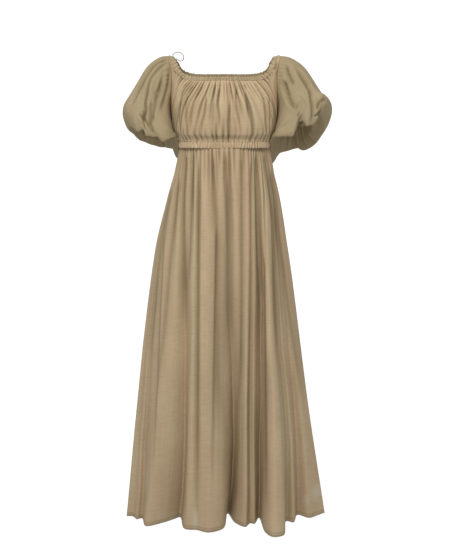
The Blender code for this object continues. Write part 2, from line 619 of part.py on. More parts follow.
def skirt_grid(front):
    """Outer points of a skirt panel: fine gathers at the waist open into the long folds that shape the hem."""
    folds = FRONT_FOLDS if front else BACK_FOLDS
    count = FRONT_SKIRT_GATHERS if front else BACK_SKIRT_GATHERS
    rows = SKIRT_ROWS if front else BACK_SKIRT_ROWS
    face = -1.0 if front else 1.0
    turn_way = 1.0 if front else -1.0

    hem = curve_through([(f.hem_x, f.depth, 0.05 * f.rise) for f in folds])
    along = lengths_along(hem[:, :2])
    cloth = np.linspace(0.0, 1.0, count * COLUMNS_PER_SKIRT_GATHER + 1)
    x, depth, rise = (np.interp(cloth * along[-1], along, hem[:, k]) for k in range(3))
    rise = rise / 0.05

    bottom = SKIRT[-1]
    reach = bottom.front if front else bottom.back
    hem_turn = np.arcsin(np.clip(turn_way * x / bottom.half_width, -1.0, 1.0))
    recess = depth - reach * np.cos(hem_turn)
    share = np.array(rows)[:, None]
    width = from_table(SKIRT, "half_width", share)
    shift = from_table(SKIRT, "shift", share)
    if front:
        marks = np.interp(column(FRONT_LINES, "hem_x"), np.maximum.accumulate(x), cloth)
        turn = np.zeros((len(share), len(cloth)))
        for r, at in enumerate(share[:, 0]):
            places = [np.interp(at, LINE_SHARES + (1.0,), line[1:] + (line.hem_x,)) for line in FRONT_LINES]
            turns = np.arcsin(np.clip((np.array(places) - shift[r, 0]) / width[r, 0], -0.99, 0.99))
            turn[r] = eased(cloth, [0.0, *marks, 1.0], [-math.pi / 2, *turns, math.pi / 2])
        turn = turn + (hem_turn - turn[-1]) * share**1.2
    else:
        mix = 1 - (1 - share) ** 1.6
        turn = (2 * cloth - 1) * math.pi / 2 * (1 - mix) + hem_turn * mix
    deep = from_table(SKIRT, "front" if front else "back", share)
    grow = share ** (rise + LATE_DEEPENING)
    across = turn_way * width * np.sin(turn) + shift
    out = deep * np.cos(turn) + grow * recess
    level = WAIST_BOTTOM - SEAM_GAP - SKIRT_LENGTH * share - HEM_RISE * grow * np.minimum(recess, 0) * share
    grid = np.stack([across, face * out, level + np.zeros_like(across)], axis=-1)

    outward = normals_of(grid)
    outward *= np.sign((outward[..., 1] * face).sum())
    phase = cloth * count
    reach_down = 0.18 + 0.30 * rng.random(count + 1)[np.clip(np.round(phase).astype(int), 0, count)]
    fade = (0.45 + 0.55 * smooth(share / 0.04)) * (1 - smooth(share / reach_down))
    ends = smooth(np.minimum(cloth, 1 - cloth) / 0.03)
    grid[..., :2] += (outward * (ridge(phase) * SKIRT_GATHER_DEPTH * fade * ends)[..., None])[..., :2]
    grid[..., 1] = np.minimum(grid[..., 1], -SEAM_GAP) if front else np.maximum(grid[..., 1], SEAM_GAP)
    grid[:, [0, -1], 1] = face * SEAM_GAP
    outward = normals_of(grid)
    outward *= np.sign((outward[..., 1] * face).sum())
    outward[[0, -1], :, 2] = 0.0
    outward[:, [0, -1]] = np.sign(grid[:, [0, -1]]) * (1, 0, 0)
    return grid, unit(outward)


def cuff_height(y):
    """The level of the cuff's top edge: higher in front of the arm than behind it."""
    return CUFF_TOP - CUFF_SLOPE * y


def sleeve_grid(side, troughs, fold):
    """Outer points of a bubble sleeve: side 1 is the right, -1 the left."""
    turn = np.linspace(0.0, 2 * math.pi, SLEEVE_COLUMNS, endpoint=False)[None, :]
    share = np.array(SLEEVE_ROWS)[:, None]
    ring = {name: from_table(SLEEVE, name, share) for name in Ring._fields[1:]}
    up, forward = np.cos(turn), np.sin(turn)
    out, into = np.maximum(up, 0), np.maximum(-up, 0)
    ahead, behind = np.maximum(forward, 0), np.maximum(-forward, 0)
    x = ring["mid_x"] + (ring["outer_x"] - ring["mid_x"]) * out + (ring["inner_x"] - ring["mid_x"]) * into
    y = ring["front_y"] * ahead + ring["back_y"] * behind
    z = (
        ring["mid_z"]
        + (ring["outer_z"] - ring["mid_z"]) * out
        + (ring["inner_z"] - ring["mid_z"]) * into
        + (ring["front_z"] - ring["mid_z"]) * ahead
        + (ring["back_z"] - ring["mid_z"]) * behind
    )
    # The lift begins further down on the outer side
    late = smooth(up)
    lifted = smooth((share - 0.15 - 0.27 * late) / (0.45 - 0.15 * late)) * (1 - smooth((share - 0.86) / 0.14))
    z = z + eased(np.degrees(turn), column(fold, "turn"), column(fold, "rise")) * lifted
    grid = np.stack([x, y, z], axis=-1)
    seam = armhole(turn[0])
    seam[:, 0] += SEAM_GAP
    grid = grid + (1 - smooth(share / 0.12))[..., None] * (seam - grid[:1])
    y = -np.sin(turn[0]) * (CUFF_RADIUS_Y + SEAM_GAP)
    cuff_edge = np.stack(
        [
            CUFF_X + np.cos(turn[0]) * (CUFF_RADIUS_X + SEAM_GAP),
            y,
            cuff_height(y) - CUFF_HEIGHT / 2,
        ],
        axis=-1,
    )
    grid = grid + smooth((share - 0.9) / 0.1)[..., None] * (cuff_edge - grid[-1:])

    degrees = np.degrees(turn)
    push = np.zeros_like(x)
    for t in troughs:
        away = (degrees - t.turn - t.drift * share + 180) % 360 - 180
        length = smooth((share - t.begin) / 0.15) * smooth((t.end - share) / 0.10)
        push = push + t.depth * np.exp(-((away / t.width) ** 2)) * length
    push = push * (1 - TROUGH_EASE * smooth((share - 0.50) / 0.2))
    head = np.clip(np.cos(turn) + 0.35, 0, 1)
    push = push - HEAD_GATHER_DEPTH * ridge(turn * HEAD_GATHERS / math.pi) * head * (1 - smooth(share / 0.30))
    push[[0, -1]] = 0.0
    outward = normals_of(grid, around=True)
    outward *= np.sign((outward[3, :, 0] * np.cos(turn[0])).sum())
    grid = grid - outward * push[..., None]

    scale = torso_scale(grid)[..., None]
    least = 1 + SLEEVE_CLEARANCE / from_table(TORSO, "half_width", grid[..., 2:])
    near = (scale < least) & (share[..., None] > 0.03) & (share[..., None] < 0.95)
    grid[..., :2] = np.where(near, grid[..., :2] * least / scale, grid[..., :2])
    outward = normals_of(grid, around=True)
    outward *= np.sign((outward[3, :, 0] * np.cos(turn[0])).sum())
    swing = smooth(share / 0.5) * (1 - smooth((share - 0.8) / 0.2))
    swing = swing * np.clip((grid[..., 0] - 0.145) / 0.06, 0, 1)
    grid[..., 0] += side * SLEEVE_SHIFT * swing
    return grid * (side, 1, 1), outward * (side, 1, 1)


def make_bodice(material):
    cloth_wall("bodice_front", *bodice_grid(True), material)
    cloth_wall("bodice_back", *bodice_grid(False), material)


def make_skirt(material):
    cloth_wall("skirt_front", *skirt_grid(True), material)
    cloth_wall("skirt_back", *skirt_grid(False), material)


def make_sleeves(material):
    cloth_wall("sleeve_right", *sleeve_grid(1, RIGHT_TROUGHS, RIGHT_FOLD), material, around=True)
    cloth_wall("sleeve_left", *sleeve_grid(-1, LEFT_TROUGHS, LEFT_FOLD), material, around=True)


def section_of(high, low, out, wave):
    """Six corners of a channel's section between its two edges, puffed outwards by wave."""
    middle = (high + low) / 2
    near = 0.25
    return np.stack(
        [
            high - out * CASING_IN * near,
            high * (1 - near / 2) + low * near / 2 + out * (CASING_OUT * 0.75 + wave * 0.5),
            middle + out * (CASING_OUT + wave),
            low + out * CASING_OUT * 0.6,
            low - out * CASING_IN,
            middle - out * CASING_IN * 1.05,
        ],
        axis=1,
    )


def neck_casing(name, table, gathers, front, material):
    steps = np.linspace(0.0, 1.0, 2 * gathers + 1)
    high, low, out = neck_lines(table, front, steps)
    low = low + unit(high - low) * CASING_GAP
    wave = np.where(np.arange(len(steps)) % 2 == 0, 0.0005, -0.0003)[:, None]
    sections = section_of(high, low, out, wave)
    channel(name, sections[:, ::-1] if front else sections, material)


def waist_casing(name, gathers, front, material):
    turn = np.linspace(0.0, math.pi, 2 * gathers + 1)
    face = -1.0 if front else 1.0
    rim = np.stack([-np.cos(turn), face * np.sin(turn), np.zeros_like(turn)], axis=-1)
    sections = []
    wave = np.where(np.arange(len(turn)) % 2 == 0, 0.0008, -0.0006)
    for i, r in enumerate(rim):
        high = on_torso(np.array([r[0] * 0.119, r[1] * 0.09, WAIST_TOP]))
        low = on_torso(np.array([r[0] * 0.119, r[1] * 0.09, WAIST_BOTTOM]))
        n = TORSO_SQUARENESS - 1
        out = np.sign(high) * (np.abs(high) / (0.119, 0.09, 1)) ** n / (0.119, 0.09, 1) * (1, 1, 0)
        out /= np.linalg.norm(out)
        sections.append(section_of(high[None], low[None], out[None], wave[i])[0])
    sections = np.array(sections)
    sections[[0, -1], :, 1] = face * SEAM_GAP / 2
    channel(name, sections[:, ::-1] if front else sections, material)


def cuff(name, side, material):
    turn = np.linspace(0.0, 2 * math.pi, CUFF_COLUMNS, endpoint=False)
    sections = []
    for t in turn:
        rows = []
        for inset, down in ((0.0, 0.15), (0.0, 0.85), (0.3, 1.0), (1.0, 0.9), (1.0, 0.1), (0.3, 0.0)):
            rows.append(
                (
                    side * (CUFF_X + math.cos(t) * (CUFF_RADIUS_X - inset * CUFF_THICK)),
                    -math.sin(t) * (CUFF_RADIUS_Y - inset * CUFF_THICK),
                    cuff_height(-math.sin(t) * CUFF_RADIUS_Y) - down * CUFF_HEIGHT,
                )
            )
        sections.append(rows if side > 0 else rows[::-1])
    channel(name, np.array(sections), material, around=True)


def hanger_loop(material):
    line = curve_through(TAPE_ROUTE, samples=4)
    run = np.gradient(line, axis=0)
    run /= np.linalg.norm(run, axis=-1, keepdims=True)
    across = np.array([0.0, 1.0, 0.0]) - run * run[:, 1:2]
    across /= np.linalg.norm(across, axis=-1, keepdims=True)
    out = np.cross(run, across)
    corners = ((1, -1), (-1, -1), (-1, 1), (1, 1))
    sections = np.stack(
        [line + a * across * TAPE_WIDTH / 2 + b * out * TAPE_THICK / 2 for a, b in corners], axis=1
    )
    channel("hanger_loop", sections, material)


for old in list(bpy.data.objects):
    bpy.data.objects.remove(old)
dress = bpy.data.objects.new("dress", None)
bpy.context.scene.collection.objects.link(dress)

lawn = new_material("lawn", CLOTH, 0.85)
sleeve_lawn = new_material("sleeve_lawn", SLEEVE_CLOTH, 0.85)
ruched_lawn = new_material("ruched_lawn", CASING, 0.85)
satin_tape = new_material("satin_tape", TAPE, 0.5)

make_bodice(lawn)
make_skirt(lawn)
make_sleeves(sleeve_lawn)
neck_casing("neck_casing_front", NECK_FRONT, FRONT_WAIST_GATHERS + SIDE_GATHERS, True, ruched_lawn)
neck_casing("neck_casing_back", NECK_BACK, BACK_WAIST_GATHERS + SIDE_GATHERS, False, ruched_lawn)
waist_casing("waist_casing_front", FRONT_WAIST_GATHERS, True, ruched_lawn)
waist_casing("waist_casing_back", BACK_WAIST_GATHERS, False, ruched_lawn)
cuff("cuff_right", 1, ruched_lawn)
cuff("cuff_left", -1, ruched_lawn)
hanger_loop(satin_tape)
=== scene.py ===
"""Looks of a worn maxi dress in slub-woven cotton lawn: gathered, ruched and puffed cloth."""

import math
from collections import namedtuple

import bpy
import numpy as np
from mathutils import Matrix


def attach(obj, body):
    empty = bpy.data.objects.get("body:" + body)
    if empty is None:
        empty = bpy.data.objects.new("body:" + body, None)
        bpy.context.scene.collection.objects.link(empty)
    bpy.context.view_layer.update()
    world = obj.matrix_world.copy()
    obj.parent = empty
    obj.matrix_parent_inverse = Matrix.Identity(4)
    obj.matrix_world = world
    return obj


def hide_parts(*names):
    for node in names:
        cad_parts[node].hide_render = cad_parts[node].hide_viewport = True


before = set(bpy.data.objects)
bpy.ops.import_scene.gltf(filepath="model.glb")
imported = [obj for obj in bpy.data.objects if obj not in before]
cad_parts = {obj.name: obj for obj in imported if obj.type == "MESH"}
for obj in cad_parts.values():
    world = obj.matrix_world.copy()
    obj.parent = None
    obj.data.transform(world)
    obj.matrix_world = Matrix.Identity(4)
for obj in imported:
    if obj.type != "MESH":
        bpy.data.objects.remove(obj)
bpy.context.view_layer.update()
rng = np.random.default_rng(23)

# Thickness that the thin cloth is drawn with, and the gap at a seam
CLOTH = 0.0006
SEAM_GAP = 0.0004
# How strongly fold floors are darkened by colour, over what the light gives: for most of the cloth, for
# the bodice and for the sleeves
FOLD_DARKNESS = 0.66
BODICE_FOLD_DARKNESS = 0.80
SLEEVE_FOLD_DARKNESS = 0.74
# The bodice's edges go this far behind the channels
BODICE_TUCK = 0.0009
# Drawn cloth passes this far over the line of a side seam, so that no light shows through it
SEAM_LAP = 0.0004

# Heights below the shoulder line
WAIST_TOP = -0.2192
WAIST_BOTTOM = -0.2345
SKIRT_LENGTH = 0.9810

# Torso cloth: rounded-box sections, half widths and half depths at each height
TORSO_SQUARENESS = 2.8
Torso = namedtuple("Torso", "height half_width front back")
TORSO = [
    Torso(-0.3600, 0.1500, 0.1120, 0.1080),
    Torso(-0.3000, 0.1340, 0.1010, 0.0970),
    Torso(-0.2345, 0.1155, 0.0900, 0.0850),
    Torso(-0.2170, 0.1155, 0.0905, 0.0850),
    Torso(-0.2000, 0.1270, 0.1060, 0.0900),
    Torso(-0.1750, 0.1330, 0.1120, 0.0945),
    Torso(-0.1300, 0.1370, 0.1130, 0.0985),
    Torso(-0.0900, 0.1390, 0.0985, 0.0985),
    Torso(-0.0500, 0.1400, 0.0820, 0.0945),
    Torso(0.0100, 0.1425, 0.0750, 0.0800),
]

# Neck casing, from the shoulder to the centre of one side: its neck edge and its lower edge
Edge = namedtuple("Edge", "neck_x neck_y neck_z low_x low_y low_z")
NECK_FRONT = [
    Edge(0.1255, 0.000, -0.0040, 0.1360, 0.000, -0.0010),
    Edge(0.1165, -0.040, -0.0230, 0.1268, -0.042, -0.0263),
    Edge(0.1065, -0.062, -0.0450, 0.1145, -0.061, -0.0512),
    Edge(0.0870, -0.0750, -0.0555, 0.0915, -0.0775, -0.0648),
    Edge(0.0000, -0.0845, -0.0580, 0.0000, -0.0890, -0.0665),
]
NECK_BACK = [
    Edge(0.1255, 0.000, -0.0040, 0.1365, 0.000, -0.0010),
    Edge(0.1185, 0.040, -0.0150, 0.1315, 0.042, -0.0190),
    Edge(0.1090, 0.067, -0.0340, 0.1195, 0.067, -0.0415),
    Edge(0.0880, 0.0825, -0.0430, 0.0920, 0.0850, -0.0545),
    Edge(0.0000, 0.0925, -0.0450, 0.0000, 0.0960, -0.0565),
]

# The left strip sits this much further out on its shoulder
LEFT_LEAN = 0.0040

# Armhole: an upright drop on the side of the torso, narrowing to the underarm
ARMHOLE_TAPER = 2.4
ARMHOLE_TOP = -0.0030
ARMHOLE_BOTTOM = -0.1680
ARMHOLE_FRONT = 0.0440
ARMHOLE_BACK = 0.0460

# Bodice gathers: those that fan out to the armhole and side seam on each side, then those that reach
# the waist
SIDE_GATHERS = 8
FRONT_WAIST_GATHERS = 28
BACK_WAIST_GATHERS = 24
Stop = namedtuple("Stop", "gather neck edge")
STRAP_STOP = Stop(3.0, 0.064, 0.062)
UNDERARM_GATHER = 19 / 3
LAST_NECK_X = 0.0920
EDGE_REACH = 0.018
AHEAD_Y = 0.066
AHEAD_Z = -0.124
AHEAD_FADE = 0.060
BODICE_ROWS = 60
BODICE_COLUMNS_PER_GATHER = 10
# Gathers that leave the neck casing, and those that rise from the waist casing: depth and painted shade, how
# far they reach and how often each, then at the casing their strength, how far it is kept, and their width
Gather = namedtuple("Gather", "depth shade reaches odds root full narrow")
NECK_GATHER = Gather(
    0.0040, 0.85, [0.34, 0.50, 0.70, 0.95, 1.30], [0.2, 0.25, 0.2, 0.2, 0.15], 0.6, 0.03, 0.15
)
WAIST_GATHER = Gather(0.0034, 0.62, [0.30, 0.45, 0.65, 0.95], [0.25, 0.3, 0.25, 0.2], 0.5, 0.04, 0.17)
BODICE_WOBBLE = 0.0014
# Steps round half an armhole, and down a side seam
HOLE_STEPS = 60
SEAM_STEPS = 19

# Skirt envelope that the fold crests touch, by share of the skirt's length
Skirt = namedtuple("Skirt", "share half_width front back shift")
SKIRT = [
    Skirt(0.00, 0.1160, 0.0903, 0.0853, 0.000),
    Skirt(0.04, 0.1220, 0.0950, 0.0900, 0.000),
    Skirt(0.13, 0.1450, 0.1100, 0.1080, -0.002),
    Skirt(0.27, 0.1730, 0.1280, 0.1290, -0.007),
    Skirt(0.50, 0.2045, 0.1480, 0.1490, -0.007),
    Skirt(0.68, 0.2261, 0.1600, 0.1620, -0.005),
    Skirt(1.00, 0.2669, 0.1800, 0.1800, 0.004),
]
# How much the hem lifts for each metre that a fold turns in
HEM_RISE = 0.045
# How much later than in proportion the folds deepen on their way down
LATE_DEEPENING = 0.45
# Cloth within this many columns is compared to find how far a fold's floor lies behind its neighbours
FOLD_REACH = 17
# A floor that lies this far behind them gets the full painted shade
FOLD_FLOOR = 0.030
FOLD_FLOOR_SHADE = 0.40
# The skirt's top edge goes this far up behind the waist casing's lower stitch line
SKIRT_TUCK = 0.0020
SKIRT_COLUMNS = 400
SKIRT_ROWS = 108
FRONT_SKIRT_GATHERS = 44
BACK_SKIRT_GATHERS = 40
SKIRT_GATHER_DEPTH, SKIRT_GATHER_SHADE = 0.0036, 0.62

# Crests and valleys of the hem, from one side seam to the other: place across, depth from the side plane,
# and how late the fold deepens on its way down
Fold = namedtuple("Fold", "hem_x depth delay")
# The delay is scaled by this beside the places, so that the curve through them all stays even
DELAY_SCALE = 0.05
FRONT_FOLDS = [
    Fold(-0.262, 0.000, 1.0),
    Fold(-0.266, 0.022, 1.0),
    Fold(-0.249, 0.030, 0.9),
    Fold(-0.236, 0.052, 1.0),
    Fold(-0.224, 0.046, 0.8),
    Fold(-0.208, 0.100, 1.0),
    Fold(-0.165, 0.080, 1.2),
    Fold(-0.135, 0.056, 1.0),
    Fold(-0.123, 0.046, 1.0),
    Fold(-0.106, 0.124, 1.0),
    Fold(-0.075, 0.132, 1.0),
    Fold(-0.045, 0.148, 1.2),
    Fold(-0.008, 0.124, 1.2),
    Fold(0.004, 0.024, 1.0),
    Fold(0.024, 0.085, 1.0),
    Fold(0.050, 0.112, 1.1),
    Fold(0.064, 0.088, 0.9),
    Fold(0.074, 0.092, 0.9),
    Fold(0.087, 0.052, 0.7),
    Fold(0.102, 0.148, 1.0),
    Fold(0.122, 0.176, 1.1),
    Fold(0.147, 0.164, 1.1),
    Fold(0.160, 0.070, 1.0),
    Fold(0.177, 0.078, 1.1),
    Fold(0.192, 0.026, 1.0),
    Fold(0.220, 0.044, 1.1),
    Fold(0.250, 0.018, 1.1),
    Fold(0.266, 0.000, 1.0),
]
BACK_FOLDS = [
    Fold(0.266, 0.000, 1.0),
    Fold(0.240, 0.072, 1.0),
    Fold(0.216, 0.050, 0.9),
    Fold(0.190, 0.118, 1.0),
    Fold(0.164, 0.080, 0.9),
    Fold(0.130, 0.152, 1.1),
    Fold(0.106, 0.098, 0.8),
    Fold(0.070, 0.172, 1.0),
    Fold(0.044, 0.112, 0.9),
    Fold(0.010, 0.178, 1.1),
    Fold(-0.018, 0.108, 0.8),
    Fold(-0.056, 0.174, 1.0),
    Fold(-0.084, 0.106, 0.9),
    Fold(-0.118, 0.152, 1.1),
    Fold(-0.144, 0.086, 0.9),
    Fold(-0.178, 0.126, 1.0),
    Fold(-0.204, 0.064, 0.9),
    Fold(-0.232, 0.082, 1.0),
    Fold(-0.262, 0.000, 1.0),
]
# Long folds of the front, as they run down: place across at the waist and at shares of the skirt's length
Line = namedtuple("Line", "hem_x waist x12 x26 x39 x52 x65 x78 x92")
LINE_SHARES = (0.0, 0.12, 0.26, 0.39, 0.52, 0.65, 0.78, 0.92)
FRONT_LINES = [
    Line(-0.224, -0.1080, -0.1400, -0.1640, -0.1810, -0.1925, -0.2010, -0.2105, -0.2170),
    Line(-0.123, -0.0960, -0.1040, -0.1036, -0.1020, -0.1010, -0.1036, -0.1058, -0.1137),
    Line(-0.075, -0.0640, -0.0660, -0.0670, -0.0680, -0.0690, -0.0710, -0.0714, -0.0716),
    Line(0.004, 0.0042, 0.0065, 0.0115, 0.0130, 0.0160, 0.0196, 0.0221, 0.0150),
    Line(0.064, 0.0650, 0.0691, 0.0686, 0.0680, 0.0666, 0.0650, 0.0650, 0.0653),
    Line(0.087, 0.0765, 0.0828, 0.0864, 0.0929, 0.0905, 0.0923, 0.0889, 0.0887),
    Line(0.160, 0.1020, 0.1252, 0.1302, 0.1334, 0.1396, 0.1530, 0.1605, 0.1609),
]

# Painted light: pale places near the front hem, where light shows through the sheer cloth
Patch = namedtuple("Patch", "across height half_wide half_tall")
SHEER_LIGHT_PATCHES = [
    Patch(0.246, -1.150, 0.016, 0.022),
    Patch(-0.0750, -1.190, 0.007, 0.026),
    Patch(0.215, -1.165, 0.010, 0.012),
]
PAINTED_SHEER_LIGHT = 0.8

# Sleeve rings, armhole to cuff: a centre, then the outermost, innermost, front and back points round it
Ring = namedtuple("Ring", "share mid_x mid_z outer_x outer_z inner_x inner_z front_y front_z back_y back_z")
SLEEVE = [
    Ring(0.00, 0.1390, -0.0855, 0.1410, -0.001, 0.1350, -0.168, -0.046, -0.0855, 0.048, -0.0855),
    Ring(0.10, 0.1540, -0.0890, 0.1620, -0.0055, 0.1300, -0.182, -0.063, -0.0880, 0.066, -0.0900),
    Ring(0.24, 0.1690, -0.1050, 0.1945, -0.0240, 0.1230, -0.206, -0.080, -0.0980, 0.087, -0.1040),
    Ring(0.40, 0.1800, -0.1320, 0.2260, -0.067, 0.1190, -0.226, -0.092, -0.1180, 0.102, -0.1320),
    Ring(0.56, 0.1900, -0.1680, 0.2540, -0.122, 0.1150, -0.244, -0.099, -0.1460, 0.110, -0.1700),
    Ring(0.70, 0.1940, -0.2000, 0.2660, -0.163, 0.1140, -0.256, -0.099, -0.1780, 0.110, -0.2120),
    Ring(0.82, 0.1920, -0.2180, 0.2480, -0.206, 0.1200, -0.248, -0.090, -0.2030, 0.096, -0.2400),
    Ring(0.92, 0.1850, -0.2060, 0.2260, -0.196, 0.1340, -0.210, -0.068, -0.1960, 0.072, -0.2220),
    Ring(1.00, 0.1775, -0.1600, 0.2120, -0.160, 0.1430, -0.160, -0.041, -0.1600, 0.041, -0.1600),
]
# How far the soft troughs fade towards the cuff, and how deep they are drawn
TROUGH_EASE = 0.7
TROUGH_DEPTH = 0.6
FURROW_DEPTH = 1.3
# Depth and painted shade of the gathers at the sleeve's head and at its cuff
HEAD_GATHER_DEPTH, HEAD_GATHER_SHADE = 0.0015, 0.30
CUFF_GATHER_DEPTH, CUFF_GATHER_SHADE = 0.0022, 0.40
TUCKED_UNDER_SHADE = 0.12
BUBBLE_SQUARENESS = 0.66
SLEEVE_ROWS = 110
SLEEVE_COLUMNS = 220
SLEEVE_CLEARANCE = 0.0030
SLEEVE_SHIFT = 0.0040
# The right bubble reaches this much further out at its widest
RIGHT_TIP = 0.0065
# Scalloped lower fold of each bubble: how much it is lifted (or lowered) at each turn from the outer side
Lift = namedtuple("Lift", "turn rise")
RIGHT_FOLD = [
    Lift(0, 0.020), Lift(30, 0.040), Lift(51, 0.046), Lift(62, 0.023), Lift(79, 0.0190), Lift(90, 0.036),
    Lift(94, 0.026), Lift(99, 0.007), Lift(112, 0.0125), Lift(126, 0.019), Lift(150, 0.029),
    Lift(168, 0.030), Lift(190, -0.006), Lift(208, -0.020), Lift(226, -0.010), Lift(244, 0.004),
    Lift(262, 0.002), Lift(285, -0.010), Lift(310, -0.008), Lift(338, 0.008), Lift(360, 0.020),
]
LEFT_FOLD = [
    Lift(0, 0.014), Lift(24, 0.020), Lift(45, 0.0105), Lift(60, 0.003), Lift(74, 0.009), Lift(84, -0.005),
    Lift(94, -0.001), Lift(101, 0.005), Lift(110, 0.000), Lift(124, 0.010), Lift(146, 0.028),
    Lift(166, 0.034), Lift(188, 0.002), Lift(203, -0.006), Lift(216, -0.002), Lift(232, 0.018),
    Lift(275, 0.008), Lift(310, 0.008), Lift(340, 0.016), Lift(360, 0.014),
]
# Soft troughs of each sleeve: turn from the shoulder towards the front, in degrees
Trough = namedtuple("Trough", "turn drift depth width begin end")
RIGHT_TROUGHS = [
    Trough(22, 4, 0.009, 12, 0.10, 0.92),
    Trough(50, 10, 0.012, 11, 0.05, 0.80),
    Trough(80, -6, 0.010, 11, 0.20, 0.96),
    Trough(112, 4, 0.010, 12, 0.45, 0.98),
    Trough(150, 4, 0.004, 14, 0.35, 0.95),
    Trough(200, 0, 0.003, 14, 0.35, 0.95),
    Trough(240, 6, 0.007, 13, 0.20, 0.96),
    Trough(276, -4, 0.012, 12, 0.10, 0.95),
    Trough(306, 6, 0.010, 11, 0.08, 0.92),
    Trough(334, -4, 0.009, 11, 0.12, 0.96),
]
LEFT_TROUGHS = [
    Trough(14, -4, 0.010, 11, 0.08, 0.94),
    Trough(42, 8, 0.011, 11, 0.10, 0.92),
    Trough(70, 4, 0.014, 11, 0.30, 0.98),
    Trough(98, -6, 0.010, 12, 0.10, 0.94),
    Trough(132, 4, 0.005, 13, 0.50, 0.98),
    Trough(172, 0, 0.003, 14, 0.35, 0.95),
    Trough(222, 4, 0.005, 13, 0.25, 0.96),
    Trough(258, -6, 0.012, 12, 0.15, 0.95),
    Trough(292, 6, 0.010, 12, 0.08, 0.94),
    Trough(326, -4, 0.011, 11, 0.10, 0.96),
]

# Flat size stated for each piece: width across, length down and area, all estimates. They are lower than a
# maker's cut, the skirt in its area only, because the gathers here are fewer and shallower than real ones
Cut = namedtuple("Cut", "width length area")
CUTS = {
    "bodice_front": Cut(0.46, 0.215, 0.092),
    "bodice_back": Cut(0.44, 0.215, 0.085),
    "neck_casing": Cut(0.50, 0.015, 0.0075),
    "waist_casing": Cut(0.46, 0.018, 0.00828),
    "skirt": Cut(1.15, 1.00, 0.86),
    "sleeve": Cut(0.50, 0.33, 0.165),
    "cuff": Cut(0.32, 0.014, 0.00448),
    "tape": Cut(0.085, 0.010, 0.00085),
}

# Cuff channel round the arm
CUFF_X = 0.1775
CUFF_TOP = -0.1520
CUFF_HEIGHT = 0.0120
CUFF_RADIUS_X = 0.0345
CUFF_RADIUS_Y = 0.0410
CUFF_SLOPE = 0.14
CUFF_INSET = 0.0012
CUFF_GATHERS = 44
CASING_STEPS = 481
WAIST_HALF_WIDTH, WAIST_HALF_DEPTH = 0.119, 0.09
# Points round a casing's section, and how far its small folds stand out
RUCHE_SIDES = 16
RUCHE_WAVE = 0.0011

# Hanger loop: a narrow tape that leaves the inside of the shoulder strip
TAPE_WIDTH = 0.0040
TAPE_THICK = 0.0022
TAPE_ROUTE = [
    (-0.1300, 0.0050, -0.0070),
    (-0.1312, 0.0055, -0.0005),
    (-0.1270, 0.0065, 0.0046),
    (-0.1195, 0.0080, 0.0068),
    (-0.1118, 0.0100, 0.0052),
    (-0.1058, 0.0125, 0.0000),
    (-0.1038, 0.0150, -0.0070),
    (-0.1070, 0.0180, -0.0130),
    (-0.1130, 0.0195, -0.0150),
    (-0.1190, 0.0200, -0.0120),
    (-0.1240, 0.0200, -0.0080),
]

# A crease of this depth gets its full painted shade: so much over its width, and more in its core
CREASE_FULL_DEPTH = 0.0050
CREASE_SHADE, CREASE_CORE_SHADE = 0.45, 0.35
FURROW_SHADE, FURROW_CORE_SHADE = 0.40, 0.36
# Creases pressed into a panel, seen from its own side: heights of the two ends, then places across from
# top to bottom
Crease = namedtuple("Crease", "top bottom a b c d depth width")
SKIRT_CREASES = [
    Crease(-0.330, -0.830, -0.136, -0.166, -0.183, -0.1975, 0.0034, 0.007),
    Crease(-0.300, -0.920, -0.115, -0.138, -0.1565, -0.184, 0.0040, 0.009),
    Crease(-0.240, -0.740, -0.098, -0.1045, -0.1025, -0.101, 0.0055, 0.007),
    Crease(-0.240, -0.620, -0.078, -0.0835, -0.0880, -0.096, 0.0045, 0.006),
    Crease(-0.238, -1.330, -0.0655, -0.0672, -0.0700, -0.0722, 0.0056, 0.0045),
    Crease(-0.240, -1.060, -0.030, -0.0165, -0.0168, -0.0235, 0.0045, 0.013),
    Crease(-0.238, -0.840, 0.004, 0.010, 0.0135, 0.018, 0.0050, 0.010),
    Crease(-0.240, -1.010, 0.0455, 0.0432, 0.0385, 0.0270, 0.0050, 0.008),
    Crease(-0.238, -1.160, 0.0680, 0.0685, 0.0660, 0.0650, 0.0038, 0.0045),
    Crease(-0.240, -0.780, 0.0790, 0.0845, 0.0915, 0.0905, 0.0045, 0.007),
    Crease(-0.240, -0.830, 0.1020, 0.1280, 0.1330, 0.145, 0.0050, 0.009),
    Crease(-0.280, -0.940, 0.1200, 0.1490, 0.178, 0.218, 0.0044, 0.010),
    Crease(-0.420, -1.200, -0.0180, -0.0210, -0.0260, -0.0330, 0.0030, 0.0034),
    Crease(-0.500, -1.250, 0.0990, 0.1010, 0.1040, 0.1080, 0.0036, 0.0040),
    Crease(-0.450, -1.150, -0.1550, -0.1680, -0.1790, -0.1900, 0.0038, 0.0042),
]
